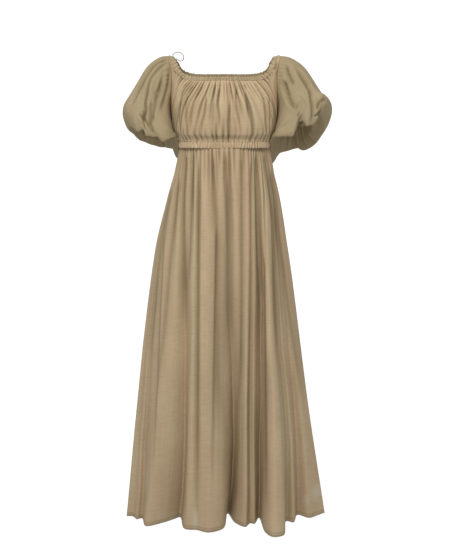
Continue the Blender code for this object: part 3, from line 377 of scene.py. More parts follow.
BODICE_CREASES = [
    Crease(-0.070, -0.214, -0.0927, -0.1100, -0.1130, -0.1105, 0.0028, 0.0026),
    Crease(-0.078, -0.217, -0.0764, -0.0950, -0.0955, -0.0897, 0.0026, 0.0028),
    Crease(-0.078, -0.217, -0.0482, -0.0760, -0.0840, -0.0868, 0.0030, 0.0028),
    Crease(-0.104, -0.217, -0.0438, -0.0475, -0.0560, -0.0571, 0.0036, 0.0026),
    Crease(-0.078, -0.211, -0.0216, -0.0262, -0.0275, -0.0275, 0.0026, 0.0026),
    Crease(-0.084, -0.205, -0.0112, -0.0156, -0.0115, -0.0127, 0.0036, 0.0024),
    Crease(-0.070, -0.200, 0.0110, 0.0150, 0.0125, 0.0081, 0.0026, 0.0026),
    Crease(-0.078, -0.211, 0.0318, 0.0290, 0.0370, 0.0451, 0.0034, 0.0026),
    Crease(-0.075, -0.170, 0.0496, 0.0550, 0.0590, 0.0614, 0.0028, 0.0026),
    Crease(-0.070, -0.208, 0.0733, 0.0990, 0.1059, 0.1059, 0.0036, 0.0026),
    Crease(-0.070, -0.205, 0.0881, 0.1135, 0.1148, 0.1118, 0.0026, 0.0026),
]
# Creases in the front of each bubble, seen from the front: their route from the head down, depth and width
Furrow = namedtuple("Furrow", "route depth width")
LEFT_FURROWS = [
    Furrow([(-0.140, -0.010), (-0.182, -0.030), (-0.218, -0.079), (-0.239, -0.127)], 0.0036, 0.0034),
    Furrow(
        [(-0.140, -0.017), (-0.182, -0.055), (-0.197, -0.100), (-0.200, -0.147), (-0.204, -0.166)],
        0.0042, 0.0040,
    ),
    Furrow([(-0.152, -0.050), (-0.164, -0.109), (-0.176, -0.147), (-0.181, -0.170)], 0.0042, 0.0038),
    Furrow([(-0.137, -0.029), (-0.141, -0.079), (-0.149, -0.109), (-0.152, -0.142)], 0.0022, 0.0036),
    Furrow([(-0.180, -0.118), (-0.184, -0.150), (-0.185, -0.178), (-0.176, -0.204)], 0.0052, 0.0036),
    Furrow([(-0.203, -0.140), (-0.206, -0.168), (-0.202, -0.190)], 0.0040, 0.0034),
    Furrow([(-0.218, -0.150), (-0.196, -0.172), (-0.190, -0.182)], 0.0032, 0.0032),
]
RIGHT_FURROWS = [
    Furrow([(0.155, -0.026), (0.161, -0.052), (0.172, -0.079)], 0.0034, 0.0055),
    Furrow([(0.150, -0.066), (0.155, -0.094), (0.168, -0.128), (0.186, -0.134)], 0.0052, 0.0042),
    Furrow(
        [
            (0.175, -0.024), (0.196, -0.055), (0.208, -0.076),
            (0.214, -0.106), (0.217, -0.147), (0.214, -0.178),
        ],
        0.0046, 0.0040,
    ),
    Furrow([(0.222, -0.158), (0.239, -0.143)], 0.0040, 0.0024),
    Furrow([(0.180, -0.146), (0.186, -0.160), (0.182, -0.178)], 0.0030, 0.0034),
    Furrow([(0.252, -0.112), (0.237, -0.121), (0.228, -0.140)], 0.0026, 0.0045),
]

# Studio: the backdrop's edges, the softbox, and the camera, which is tilted down by degrees
BACKDROP_HALF_WIDTH, BACKDROP_Y = 2.2, 2.5
BACKDROP_BOTTOM, BACKDROP_TOP = -2.8, 1.8
SOFTBOX_PLACE = (-0.30, -2.2, 1.30)
CAMERA_PLACE = (0.0145, -2.9, -0.165)
CAMERA_TILT = 7.94
# Height of the photograph and its focal length, in pixels
PHOTO_HEIGHT_PX = 552
FOCAL_LENGTH_PX = 1118


def smooth(t):
    """Eases from 0 to 1 as t goes from 0 to 1."""
    t = np.clip(t, 0.0, 1.0)
    return t * t * (3 - 2 * t)


def eased(at, keys, values):
    """A smooth curve through the values that never overshoots them."""
    at, keys, values = np.asarray(at, float), np.asarray(keys, float), np.asarray(values, float)
    steps = np.diff(keys)
    slopes = np.diff(values) / steps
    tangents = np.concatenate([slopes[:1], np.zeros(len(slopes) - 1), slopes[-1:]])
    same = slopes[:-1] * slopes[1:] > 0
    safe = np.where(same, slopes[:-1] + slopes[1:], 1.0)
    tangents[1:-1] = np.where(same, 2 * slopes[:-1] * slopes[1:] / safe, 0.0)
    i = np.clip(np.searchsorted(keys, at, side="right") - 1, 0, len(steps) - 1)
    t = np.clip((at - keys[i]) / steps[i], 0.0, 1.0)
    start, end = values[i], values[i + 1]
    return (
        (1 + 2 * t) * (1 - t) ** 2 * start
        + t * (1 - t) ** 2 * steps[i] * tangents[i]
        + t * t * (3 - 2 * t) * end
        + t * t * (t - 1) * steps[i] * tangents[i + 1]
    )


def column(table, name):
    return [getattr(row, name) for row in table]


def from_table(table, name, at):
    """The named column of a table, as a smooth curve over its first column."""
    return eased(at, column(table, table[0]._fields[0]), column(table, name))


def curve_through(points, samples=60):
    """A fine line through the points, by centripetal Catmull-Rom spans."""
    points = np.asarray(points, float)
    ends = np.vstack([2 * points[0] - points[1], points, 2 * points[-1] - points[-2]])
    line = [points[:1]]
    for a, b, c, d in zip(ends, ends[1:], ends[2:], ends[3:]):
        k1 = np.linalg.norm(b - a) ** 0.5
        k2 = k1 + np.linalg.norm(c - b) ** 0.5
        k3 = k2 + np.linalg.norm(d - c) ** 0.5
        t = np.linspace(k1, k2, samples + 1)[1:, None]
        ab = (k1 - t) / k1 * a + t / k1 * b
        bc = (k2 - t) / (k2 - k1) * b + (t - k1) / (k2 - k1) * c
        cd = (k3 - t) / (k3 - k2) * c + (t - k2) / (k3 - k2) * d
        abc = (k2 - t) / k2 * ab + t / k2 * bc
        bcd = (k3 - t) / (k3 - k1) * bc + (t - k1) / (k3 - k1) * cd
        line.append((k2 - t) / (k2 - k1) * abc + (t - k1) / (k2 - k1) * bcd)
    return np.vstack(line)


def lengths_along(line):
    return np.concatenate([[0.0], np.cumsum(np.linalg.norm(np.diff(line, axis=0), axis=1))])


def at_lengths(line, where):
    along = lengths_along(line)
    return np.stack([np.interp(where, along, line[:, k]) for k in range(line.shape[1])], axis=-1)


def at_shares(line, shares):
    """Values of an evenly stepped line at shares of its steps."""
    steps = np.linspace(0.0, 1.0, len(line))
    return np.stack([np.interp(shares, steps, line[:, k]) for k in range(line.shape[1])], axis=-1)


def mirrored_run(half):
    """A whole run from a half that ends on the centre plane: the left side first."""
    half = np.asarray(half, float)
    left = half * (-1, 1, 1)
    return np.vstack([left, half[-2::-1]])


def torso_scale(p):
    """How far inside (under 1) or outside (over 1) the torso section each point is."""
    depth = np.where(
        p[..., 1] < 0,
        from_table(TORSO, "front", p[..., 2]),
        from_table(TORSO, "back", p[..., 2]),
    )
    width = from_table(TORSO, "half_width", p[..., 2])
    n = TORSO_SQUARENESS
    return (np.abs(p[..., 0] / width) ** n + np.abs(p[..., 1] / depth) ** n) ** (1 / n)


def on_torso(p):
    """The points moved straight out, or in, to the torso section at their own height."""
    scale = np.maximum(torso_scale(p), 1e-6)[..., None]
    return np.concatenate([p[..., :2] / scale, p[..., 2:]], axis=-1)


def side_of_torso(y, z):
    depth = np.where(y < 0, from_table(TORSO, "front", z), from_table(TORSO, "back", z))
    n = TORSO_SQUARENESS
    return from_table(TORSO, "half_width", z) * (1 - np.abs(y / depth) ** n) ** (1 / n)


def armhole(turn):
    """The armhole seam of the right side, by turn in radians from the shoulder towards the front."""
    middle = (ARMHOLE_TOP + ARMHOLE_BOTTOM) / 2
    z = middle + (ARMHOLE_TOP - middle) * np.cos(turn)
    taper = 1 + (ARMHOLE_TAPER - 1) * smooth(-np.cos(turn) / 0.5)
    y = np.where(np.sin(turn) > 0, -ARMHOLE_FRONT, ARMHOLE_BACK) * np.abs(np.sin(turn)) ** taper
    return np.stack([side_of_torso(y, z), y, z], axis=-1)


def unit(vectors):
    return vectors / np.maximum(np.linalg.norm(vectors, axis=-1, keepdims=True), 1e-9)


def normals_of(grid, around=False):
    """Unit normals of a grid of rows and columns."""
    if around:
        wide = np.concatenate([grid[:, -1:], grid, grid[:, :1]], axis=1)
        return normals_of(wide)[:, 1:-1]
    return unit(np.cross(np.gradient(grid, axis=0), np.gradient(grid, axis=1)))


def pinch(u):
    """Section of a pinched valley: narrow floor, sides that open out, and a soft shoulder on each side."""
    return (1 + u * u) ** -1.5 - 0.30 * np.exp(-((np.abs(u) - 2.4) ** 2))


def outer_edge(front):
    """The bodice panel's outer edge: down the left armhole and side seam, along the waist, up the right."""
    turn = np.linspace(0.0, math.pi, HOLE_STEPS + 1)
    hole = armhole(turn if front else -turn)
    underarm_z, waist_z = ARMHOLE_BOTTOM, WAIST_TOP - BODICE_TUCK
    seam_y = -SEAM_GAP if front else SEAM_GAP
    z = np.linspace(underarm_z, waist_z, SEAM_STEPS + 1)[1:]
    seam = np.stack([side_of_torso(np.full_like(z, seam_y), z), np.full_like(z, seam_y), z], axis=-1)
    half_turn = np.linspace(0.0, math.pi / 2, 80)[1:]
    way = -1 if front else 1
    waist = on_torso(
        np.stack(
            [
                np.cos(half_turn) * from_table(TORSO, "half_width", waist_z),
                way * np.sin(half_turn) * from_table(TORSO, "front" if front else "back", waist_z),
                np.full_like(half_turn, waist_z),
            ],
            axis=-1,
        )
    )
    half = np.vstack([hole, seam, waist])
    half[:, 1] = np.minimum(half[:, 1], seam_y) if front else np.maximum(half[:, 1], seam_y)
    lengths = lengths_along(half)
    edge = mirrored_run(half)
    even = np.linspace(0.0, 2 * lengths[-1], 1201)
    steady = at_lengths(edge, even)
    skin = unit(steady * (1, 1, 0))
    inward = unit(np.cross(np.gradient(steady, axis=0), skin)) * (-1 if front else 1)
    window = np.hanning(61)
    padded = np.pad(inward, ((30, 30), (0, 0)), mode="edge")
    inward = np.stack([np.convolve(padded[:, k], window, mode="valid") for k in range(3)], axis=-1)
    return edge, unit(inward), lengths[HOLE_STEPS], lengths[HOLE_STEPS + SEAM_STEPS], lengths[-1]


def neck_lines(table, front, steps):
    """The neck casing's edges at shares of its length, and the way out from the cloth there."""
    seam_y = -SEAM_GAP if front else SEAM_GAP
    edges = []
    for names in (("neck_x", "neck_y", "neck_z"), ("low_x", "low_y", "low_z")):
        half = np.array([[getattr(e, n) for n in names] for e in table])
        half[0, 1] = seam_y
        whole = mirrored_run(half)
        whole[:, 0] -= LEFT_LEAN * smooth((-whole[:, 0] - 0.110) / 0.015)
        line = curve_through(whole)
        edges.append(at_lengths(line, steps * lengths_along(line)[-1]))
    high, low = edges
    out = unit(np.cross(low - high, np.gradient(low, axis=0))) * (1 if front else -1)
    out[[0, -1], 1] = 0.0
    return high, low, unit(out)


def evened(grid, onto):
    """The grid with its inner points spread evenly between its fixed edges, and moved onto the form."""
    grid = grid.copy()
    for _ in range(300):
        down = (grid[2:, 1:-1] - grid[:-2, 1:-1]) / 2
        across = (grid[1:-1, 2:] - grid[1:-1, :-2]) / 2
        corners = (grid[2:, 2:] - grid[2:, :-2] - grid[:-2, 2:] + grid[:-2, :-2]) / 4
        a = (across**2).sum(-1, keepdims=True)
        b = (down * across).sum(-1, keepdims=True)
        c = (down**2).sum(-1, keepdims=True)
        spread = a * (grid[2:, 1:-1] + grid[:-2, 1:-1]) + c * (grid[1:-1, 2:] + grid[1:-1, :-2])
        spread -= 2 * b * corners
        grid[1:-1, 1:-1] += 0.7 * (spread / (2 * (a + c)) - grid[1:-1, 1:-1])
        grid[1:-1] = onto(grid)[1:-1]
    return grid


def finer(grid, rows, columns):
    """The same sheet with more rows and columns, by uniform Catmull-Rom spans both ways."""

    def along_first(g, count):
        at = np.linspace(0.0, len(g) - 1.0, count)
        i = np.minimum(at.astype(int), len(g) - 2)
        t = (at - i).reshape((-1,) + (1,) * (g.ndim - 1))
        wide = np.concatenate([2 * g[:1] - g[1:2], g, 2 * g[-1:] - g[-2:-1]])
        a, b, c, d = wide[i], wide[i + 1], wide[i + 2], wide[i + 3]
        square, cube = 2 * a - 5 * b + 4 * c - d, 3 * b - a - 3 * c + d
        return 0.5 * (2 * b + (c - a) * t + square * t**2 + cube * t**3)

    return np.swapaxes(along_first(np.swapaxes(along_first(grid, rows), 0, 1), columns), 0, 1)


def valley(u):
    """How much less light falls into a pinched valley."""
    return np.exp(-((u / 1.15) ** 2))


def press_furrows(grid, furrows):
    """How far a bubble is pressed in by its front creases, and how much less light falls into them."""
    press, shade = np.zeros(grid.shape[:2]), np.zeros(grid.shape[:2])
    spot = grid[..., [0, 2]]
    facing = smooth((0.030 - grid[..., 1]) / 0.050)
    for furrow in furrows:
        line = curve_through(furrow.route, samples=8)
        along = np.linspace(0.0, 1.0, len(line))
        away = np.full(grid.shape[:2], 9.0)
        place = np.zeros(grid.shape[:2])
        for i, (a, b) in enumerate(zip(line, line[1:])):
            t = np.clip(((spot - a) * (b - a)).sum(-1) / ((b - a) ** 2).sum(), 0, 1)
            far = np.linalg.norm(spot - a - t[..., None] * (b - a), axis=-1)
            place = np.where(far < away, along[i] + t * (along[1] - along[0]), place)
            away = np.minimum(away, far)
        ends = smooth(place / 0.18 + 0.15) * smooth((1 - place) / 0.22 + 0.2) * facing
        press += FURROW_DEPTH * furrow.depth * ends * pinch(away / furrow.width)
        core = valley(away / furrow.width * 2.5)
        shade += ends * (FURROW_SHADE * valley(away / furrow.width) + FURROW_CORE_SHADE * core)
    return press, shade


def press_creases(grid, creases, way=1.0):
    """How far a panel is pressed in by creases that run down it, and how much less light falls into them."""
    press, shade = np.zeros(grid.shape[:2]), np.zeros(grid.shape[:2])
    for crease in creases:
        run = (crease.top - grid[..., 2]) / (crease.top - crease.bottom)
        path = eased(run, (0.0, 1 / 3, 2 / 3, 1.0), (crease.a, crease.b, crease.c, crease.d))
        away = (way * grid[..., 0] - path) / (crease.width * (0.7 + 0.6 * np.clip(run, 0, 1)))
        ends = smooth(run / 0.06) * (1 - smooth((run - 0.62) / 0.38))
        press += crease.depth * ends * pinch(away)
        dark = CREASE_SHADE * valley(away) + CREASE_CORE_SHADE * valley(away * 3)
        shade += crease.depth / CREASE_FULL_DEPTH * ends * dark
    return press, shade


def pull_gathers(height, shade, kind, starts, place, run):
    """Adds gathers of one kind to the bodice, each with its own length, from the edge where run is 0."""
    for start in starts:
        at = start + rng.uniform(-0.6, 0.6) * run**1.5
        reach = rng.choice(kind.reaches, p=kind.odds)
        held = rng.uniform(0.3, 1.3) * (kind.root + (1 - kind.root) * smooth(run / 0.08))
        held = held * (1 - smooth((run - kind.full) / reach))
        away = (place - at) / (kind.narrow + 0.17 * smooth(run / 0.5))
        height -= kind.depth * held * pinch(away)
        shade += kind.shade * held * valley(away)


def draw_bodice(front):
    """The gathered bodice panel: fine pinched gathers leave the neck casing, others rise from the waist."""
    table = NECK_FRONT if front else NECK_BACK
    waist_gathers = FRONT_WAIST_GATHERS if front else BACK_WAIST_GATHERS
    total = waist_gathers + 2 * SIDE_GATHERS
    fine = np.linspace(0.0, 1.0, 600)
    neck = neck_lines(table, front, fine)[1]
    neck_along = lengths_along(neck)
    neck_length = neck_along[-1]
    last = np.interp(-LAST_NECK_X, neck[:300, 0], neck_along[:300])
    edge, inward, underarm, corner, half = outer_edge(front)

    spread = np.arange(total * 3 + 1) / 3
    from_side = np.minimum(spread, total - spread)
    neck_stop = np.interp(
        from_side,
        [0, STRAP_STOP.gather, SIDE_GATHERS, total / 2],
        [0, STRAP_STOP.neck, last, neck_length / 2],
    )
    edge_stop = np.interp(
        from_side,
        [0, STRAP_STOP.gather, UNDERARM_GATHER, SIDE_GATHERS, total / 2],
        [0, STRAP_STOP.edge, underarm, corner, half],
    )
    right = spread > total / 2
    on_neck = np.where(right, neck_length - neck_stop, neck_stop) / neck_length
    on_edge = np.where(right, 2 * half - edge_stop, edge_stop)
    top = at_shares(neck, on_neck)
    bottom = at_lengths(edge, on_edge)

    down = np.linspace(0.0, 1.0, 16)[:, None, None]
    span = np.linalg.norm(bottom - top, axis=-1, keepdims=True)
    bend = bottom + at_shares(inward, on_edge / (2 * half)) * np.minimum(span * 0.35, EDGE_REACH)
    lead = top * 0.6 + bend * 0.4
    ahead = np.array([0.135, -AHEAD_Y if front else AHEAD_Y, AHEAD_Z])
    round_it = smooth((edge_stop - underarm * 0.45) / (underarm * 0.45))
    round_it = round_it * (1 - smooth((edge_stop - corner) / AHEAD_FADE))
    mirror = np.stack([np.where(right, 1, -1), np.ones_like(spread), np.ones_like(spread)], axis=-1)
    lead += round_it[:, None] * (ahead * mirror - lead)
    flat = (
        top * (1 - down) ** 3
        + lead * 3 * down * (1 - down) ** 2
        + bend * 3 * down**2 * (1 - down)
        + bottom * down**3
    )

    def settled(g):
        """The strips span from casing to armhole, and the cloth below them lies on the torso."""
        return g + smooth(down / 0.35) * smooth((-0.028 - g[..., 2:]) / 0.045) * (on_torso(g) - g)

    columns = total * BODICE_COLUMNS_PER_GATHER + 1
    grid = finer(evened(flat, settled), BODICE_ROWS, columns)
    outward = normals_of(grid) * (1 if front else -1)
    share = np.linspace(0.0, 1.0, BODICE_ROWS)[:, None]
    place = np.linspace(0.0, total, columns)[None, :]
    from_side = np.minimum(place, total - place)

    height = np.zeros_like(grid[..., 0])
    shade = np.zeros_like(height)
    leaving = np.arange(1, total) + rng.uniform(-0.28, 0.28, total - 1)
    pull_gathers(height, shade, NECK_GATHER, leaving, place, share)
    rising = np.arange(0.5, total - 0.3, 1.12)
    rising = rising + rng.uniform(-0.3, 0.3, len(rising))
    pull_gathers(height, shade, WAIST_GATHER, rising, place, 1 - share)
    wobble = np.interp(place, np.arange(total + 1), rng.uniform(-1, 1, total + 1))
    height += BODICE_WOBBLE * np.sin(math.pi * share) * wobble
    if front:
        press, dim = press_creases(grid, BODICE_CREASES)
        height, shade = height - press, shade + dim
    to_waist = smooth((from_side - UNDERARM_GATHER) / (SIDE_GATHERS - UNDERARM_GATHER))
    held = (1 - (1 - to_waist) * 0.8 * smooth((share - 0.45) / 0.45)) * smooth((from_side - 0.3) / 2.0)
    height *= held * (0.25 + 0.75 * smooth(share / 0.04))
    shade *= held
    outward[-1, :, 2] *= 0.2
    grid = grid + unit(outward) * height[..., None]
    grid[..., 1] = np.minimum(grid[..., 1], -SEAM_GAP) if front else np.maximum(grid[..., 1], SEAM_GAP)
    neck_places = np.interp(leaving, np.arange(columns) / BODICE_COLUMNS_PER_GATHER, grid[0, :, 0])
    waist_places = np.interp(rising, np.arange(columns) / BODICE_COLUMNS_PER_GATHER, grid[-1, :, 0])
    inner = (rising > SIDE_GATHERS) & (rising < total - SIDE_GATHERS)
    return (grid, shade), neck_places, waist_places[inner]


def draw_skirt(front):
    """A skirt panel: fine pinched gathers under the waist casing open into long folds that shape the hem."""
    folds = FRONT_FOLDS if front else BACK_FOLDS
    face = -1.0 if front else 1.0
    turn_way = 1.0 if front else -1.0

    hem = curve_through([(f.hem_x, f.depth, DELAY_SCALE * f.delay) for f in folds])
    along = lengths_along(hem[:, :2])
    cloth = np.linspace(0.0, 1.0, SKIRT_COLUMNS + 1)
    x, depth, delay = (np.interp(cloth * along[-1], along, hem[:, k]) for k in range(3))
    delay = delay / DELAY_SCALE

    bottom = SKIRT[-1]
    reach = bottom.front if front else bottom.back
    hem_turn = np.arcsin(np.clip(turn_way * x / bottom.half_width, -1.0, 1.0))
    recess = depth - reach * np.cos(hem_turn)
    share = (np.linspace(0.0, 1.0, SKIRT_ROWS + 1) ** 1.25)[:, None]
    width = from_table(SKIRT, "half_width", share)
    shift = from_table(SKIRT, "shift", share)
    if front:
        marks = np.interp(column(FRONT_LINES, "hem_x"), np.maximum.accumulate(x), cloth)
        turn = np.zeros((len(share), len(cloth)))
        for r, s in enumerate(share[:, 0]):
            places = [np.interp(s, LINE_SHARES + (1.0,), line[1:] + (line.hem_x,)) for line in FRONT_LINES]
            turns = np.arcsin(np.clip((np.array(places) - shift[r, 0]) / width[r, 0], -0.99, 0.99))
            turn[r] = eased(cloth, [0.0, *marks, 1.0], [-math.pi / 2, *turns, math.pi / 2])
        turn = turn + (hem_turn - turn[-1]) * share**1.2
    else:
        mix = 1 - (1 - share) ** 1.6
        turn = (2 * cloth - 1) * math.pi / 2 * (1 - mix) + hem_turn * mix
    deep = from_table(SKIRT, "front" if front else "back", share)
    grow = share ** (delay + LATE_DEEPENING)
    across = turn_way * width * np.sin(turn) + shift
    out = deep * np.cos(turn) + grow * recess
    level = WAIST_BOTTOM + SKIRT_TUCK * (1 - share) ** 8 - SKIRT_LENGTH * share
    level = level - HEM_RISE * grow * np.minimum(recess, 0) * share
    grid = np.stack([across, face * out, level + np.zeros_like(across)], axis=-1)
    outward = normals_of(grid)
    outward *= np.sign((outward[..., 1] * face).sum())

    place = cloth[None, :]
    height = np.zeros_like(across)
    shade = np.zeros_like(across)
    count = FRONT_SKIRT_GATHERS if front else BACK_SKIRT_GATHERS
    for i in range(1, count):
        at = (i + rng.uniform(-0.35, 0.35)) / count + rng.uniform(-0.006, 0.006) * share
        length = rng.choice([0.08, 0.15, 0.24, 0.38, 0.60], p=[0.22, 0.24, 0.22, 0.18, 0.14])
        held = rng.uniform(0.6, 1.3) * (0.5 + 0.5 * smooth(share / 0.012)) * (1 - smooth(share / length))
        away = (place - at) * count / (0.17 + 0.36 * smooth(share / 0.2))
        height -= SKIRT_GATHER_DEPTH * held * pinch(away)
        shade += SKIRT_GATHER_SHADE * held * valley(away)
    # The floors of the long folds lie in shade
    wide = np.pad(out, ((0, 0), (FOLD_REACH, FOLD_REACH)), mode="edge")
    window = np.hanning(2 * FOLD_REACH + 1)
    around = np.stack([np.convolve(row, window / window.sum(), mode="valid") for row in wide])
    shade += FOLD_FLOOR_SHADE * smooth((around - out) / FOLD_FLOOR) * smooth(share / 0.6)
    if front:
        # Painted light: where one layer of the sheer cloth lies against the light, it is painted paler
        for patch in SHEER_LIGHT_PATCHES:
            aside = (across - patch.across) / patch.half_wide
            above = (level - patch.height) / patch.half_tall
            shade -= PAINTED_SHEER_LIGHT * np.exp(-((aside**2 + above**2) ** 2))
    creases = SKIRT_CREASES
    if not front:
        creases = [c._replace(a=-c.a, b=-c.b, c=-c.c, d=-c.d) for c in creases]
    press, dim = press_creases(grid, creases)
    height -= press
    shade += dim
    height *= smooth(np.minimum(cloth, 1 - cloth) / 0.02)
    grid[..., :2] += (outward * height[..., None])[..., :2]
    grid[..., 1] = np.minimum(grid[..., 1], -SEAM_GAP) if front else np.maximum(grid[..., 1], SEAM_GAP)
    grid[:, [0, -1], 1] = -face * SEAM_LAP
    return grid, shade


def cuff_height(y):
    """The level of the cuff's top edge: higher in front of the arm than behind it."""
    return CUFF_TOP - CUFF_SLOPE * y


def draw_sleeve(side, troughs, fold, furrows):
    """A bubble sleeve: side 1 is the right, -1 the left."""
    turn = np.linspace(0.0, 2 * math.pi, SLEEVE_COLUMNS, endpoint=False)[None, :]
    share = np.linspace(0.0, 1.0, SLEEVE_ROWS)[:, None]
    ring = {name: from_table(SLEEVE, name, share) for name in Ring._fields[1:]}
    up, forward = np.cos(turn), np.sin(turn)
    # The inner side is squarer, where the bubble lies against the bodice
    boxy = np.where(up < 0, BUBBLE_SQUARENESS, 1.0)
    ring["outer_x"] = ring["outer_x"] + max(side, 0) * RIGHT_TIP * np.exp(-(((share - 0.72) / 0.10) ** 2))
    out, into = np.maximum(up, 0), np.maximum(-up, 0) ** BUBBLE_SQUARENESS
    ahead, behind = np.maximum(forward, 0) ** boxy, np.maximum(-forward, 0) ** boxy
    x = ring["mid_x"] + (ring["outer_x"] - ring["mid_x"]) * out + (ring["inner_x"] - ring["mid_x"]) * into
    y = ring["front_y"] * ahead + ring["back_y"] * behind
    z = (
        ring["mid_z"]
        + (ring["outer_z"] - ring["mid_z"]) * out
        + (ring["inner_z"] - ring["mid_z"]) * into
        + (ring["front_z"] - ring["mid_z"]) * ahead
        + (ring["back_z"] - ring["mid_z"]) * behind
    )
    # The lift begins further down on the outer side
    late = smooth(up)
    lifted = smooth((share - 0.25 - 0.17 * late) / (0.40 - 0.10 * late))
    lifted = lifted * (1 - smooth((share - 0.86) / 0.14))
    z = z + eased(np.degrees(turn), column(fold, "turn"), column(fold, "rise")) * lifted
    grid = np.stack([x, y, z], axis=-1)
    seam = armhole(turn[0])
    seam[:, 0] += SEAM_GAP
    grid = grid + (1 - smooth(share / 0.12))[..., None] * (seam - grid[:1])
    y = -np.sin(turn[0]) * (CUFF_RADIUS_Y + SEAM_GAP)
    cuff_edge = np.stack(
        [
            CUFF_X + np.cos(turn[0]) * (CUFF_RADIUS_X + SEAM_GAP),
            y,
            cuff_height(y) - CUFF_HEIGHT / 2,
        ],
        axis=-1,
    )
    grid = grid + smooth((share - 0.9) / 0.1)[..., None] * (cuff_edge - grid[-1:])

    degrees = np.degrees(turn)
    push = np.zeros_like(x)
    for t in troughs:
        away = (degrees - t.turn - t.drift * share + 180) % 360 - 180
        length = smooth((share - t.begin) / 0.15) * smooth((t.end - share) / 0.10)
        push = push + TROUGH_DEPTH * t.depth * np.exp(-((away / t.width) ** 2)) * length
    push = push * (1 - TROUGH_EASE * smooth((share - 0.50) / 0.2))
    press, shade = press_furrows(grid * (side, 1, 1), furrows)
    push = push + press
    # Head gathers that fan out from the shoulder part of the armhole seam
    for at in np.arange(-84, 85, 8.0):
        at = at + rng.uniform(-3, 3)
        length = rng.uniform(0.08, 0.30)
        away = (degrees - at - rng.uniform(-14, 14) * share + 180) % 360 - 180
        held = rng.uniform(0.3, 1.1) * smooth(share / 0.03) * (1 - smooth(share / length))
        push = push + HEAD_GATHER_DEPTH * held * pinch(away / (1.6 + 9 * share))
        shade = shade + HEAD_GATHER_SHADE * held * valley(away / (1.6 + 9 * share))
    # Gathers that rise from the cuff round the folded-under part
    for at in np.arange(0, 360, 12.0):
        at = at + rng.uniform(-4, 4)
        length = rng.uniform(0.10, 0.30)
        away = (degrees - at - rng.uniform(-10, 10) * (1 - share) + 180) % 360 - 180
        held = rng.uniform(0.6, 1.2) * smooth((1 - share) / 0.03) * (1 - smooth((1 - share) / length))
        push = push + CUFF_GATHER_DEPTH * held * pinch(away / (2.4 + 8 * (1 - share)))
        shade = shade + CUFF_GATHER_SHADE * held * valley(away / (2.4 + 8 * (1 - share)))
    push[[0, -1]] = 0.0
    outward = normals_of(grid, around=True)
    outward *= np.sign((outward[30, :, 0] * np.cos(turn[0])).sum())
    grid = grid - outward * push[..., None]

    scale = torso_scale(grid)[..., None]
    least = 1 + SLEEVE_CLEARANCE / from_table(TORSO, "half_width", grid[..., 2:])
    near = (scale < least) & (share[..., None] > 0.03) & (share[..., None] < 0.95)
    grid[..., :2] = np.where(near, grid[..., :2] * least / scale, grid[..., :2])
    swing = smooth(share / 0.5) * (1 - smooth((share - 0.8) / 0.2))
    swing = swing * np.clip((grid[..., 0] - 0.145) / 0.06, 0, 1)
    grid[..., 0] += side * SLEEVE_SHIFT * swing
    # Less light reaches the cloth that is tucked under the bubble
    shade = shade + TUCKED_UNDER_SHADE * smooth((share - 0.72) / 0.14)
    return grid * (side, 1, 1), shade


def ruche(high, low, out, marks, puff, stitch_shade=0.34, strength=1.0):
    """A ruched elastic channel between two edges: small leaning folds, pinched at both stitch lines."""
    steps = len(high)
    count = len(marks) - 1
    phase = np.interp(np.linspace(0, 1, steps), marks, np.arange(count + 1))
    every = np.arange(count + 1)
    swell = np.interp(phase, every, rng.uniform(0.5, 1.3, count + 1))
    lean = np.interp(phase, every, rng.uniform(-0.30, 0.30, count + 1))
    lean = lean * np.minimum(phase, count - phase).clip(0, 1)
    tight = rng.uniform(0.1, 1.3, (2, count + 1))
    tall = high - low
    ring, shade = [], []
    for k in range(RUCHE_SIDES):
        angle = 2 * math.pi * k / RUCHE_SIDES
        up, away = math.cos(angle), math.sin(angle)
        wave = (2 * np.abs(np.sin(math.pi * (phase + lean * up))) - 1) * swell
        held = np.interp(phase, every, tight[0] * (1 + up) / 2 + tight[1] * (1 - up) / 2)
        level = (low + high) / 2 + tall * (0.5 * np.sign(up) * abs(up) ** 0.8)
        scallop = tall * (wave[:, None] * 0.085 * np.sign(up) * abs(up))
        full = puff * max(away, 0) ** 0.8 + min(away, 0) * RUCHE_WAVE
        stand = full + wave[:, None] * RUCHE_WAVE * strength * max(away, 0) ** 0.5
        ring.append(level + scallop + out * stand)
        # Painted shade: the valleys of the small folds are darker in colour, more so where they are pinched
        # at both stitch lines
        pinched = 0.25 + 0.75 * abs(up) ** 1.5
        at_stitch = smooth((abs(up) - 0.78) / 0.2)
        dim = 0.85 * strength * pinched * np.clip(0.1 - wave, 0, 1)
        dim = dim + stitch_shade * at_stitch * np.clip(0.8 - 0.8 * wave, 0, 1)
        shade.append(dim * held)
    return np.stack(ring, axis=0), np.stack(shade, axis=0)


def marks_between(places, run, doubled=False):
    """Shares of a run at which the gathers that meet it stand, with its two ends and those between."""
    shares = np.interp(np.sort(places), run[:, 0], np.linspace(0.0, 1.0, len(run)))
    shares = shares[(shares > 0.006) & (shares < 0.994)]
    marks = np.concatenate([[0.0], shares[np.concatenate([[True], np.diff(shares) > 0.006])], [1.0]])
    between = marks[:-1] + np.diff(marks) * rng.uniform(0.35, 0.65, len(marks) - 1)
    return np.sort(np.concatenate([marks, between])) if doubled else marks


def draw_neck_casing(table, front, places):
    steps = np.linspace(0.0, 1.0, CASING_STEPS)
    high, low, out = neck_lines(table, front, steps)
    low = low - unit(high - low) * BODICE_TUCK
    grid, shade = ruche(high, low, out, marks_between(places, low), 0.0004, stitch_shade=0.05, strength=1.8)
    grid[:, [0, -1], 1] = SEAM_LAP if front else -SEAM_LAP
    return grid, shade


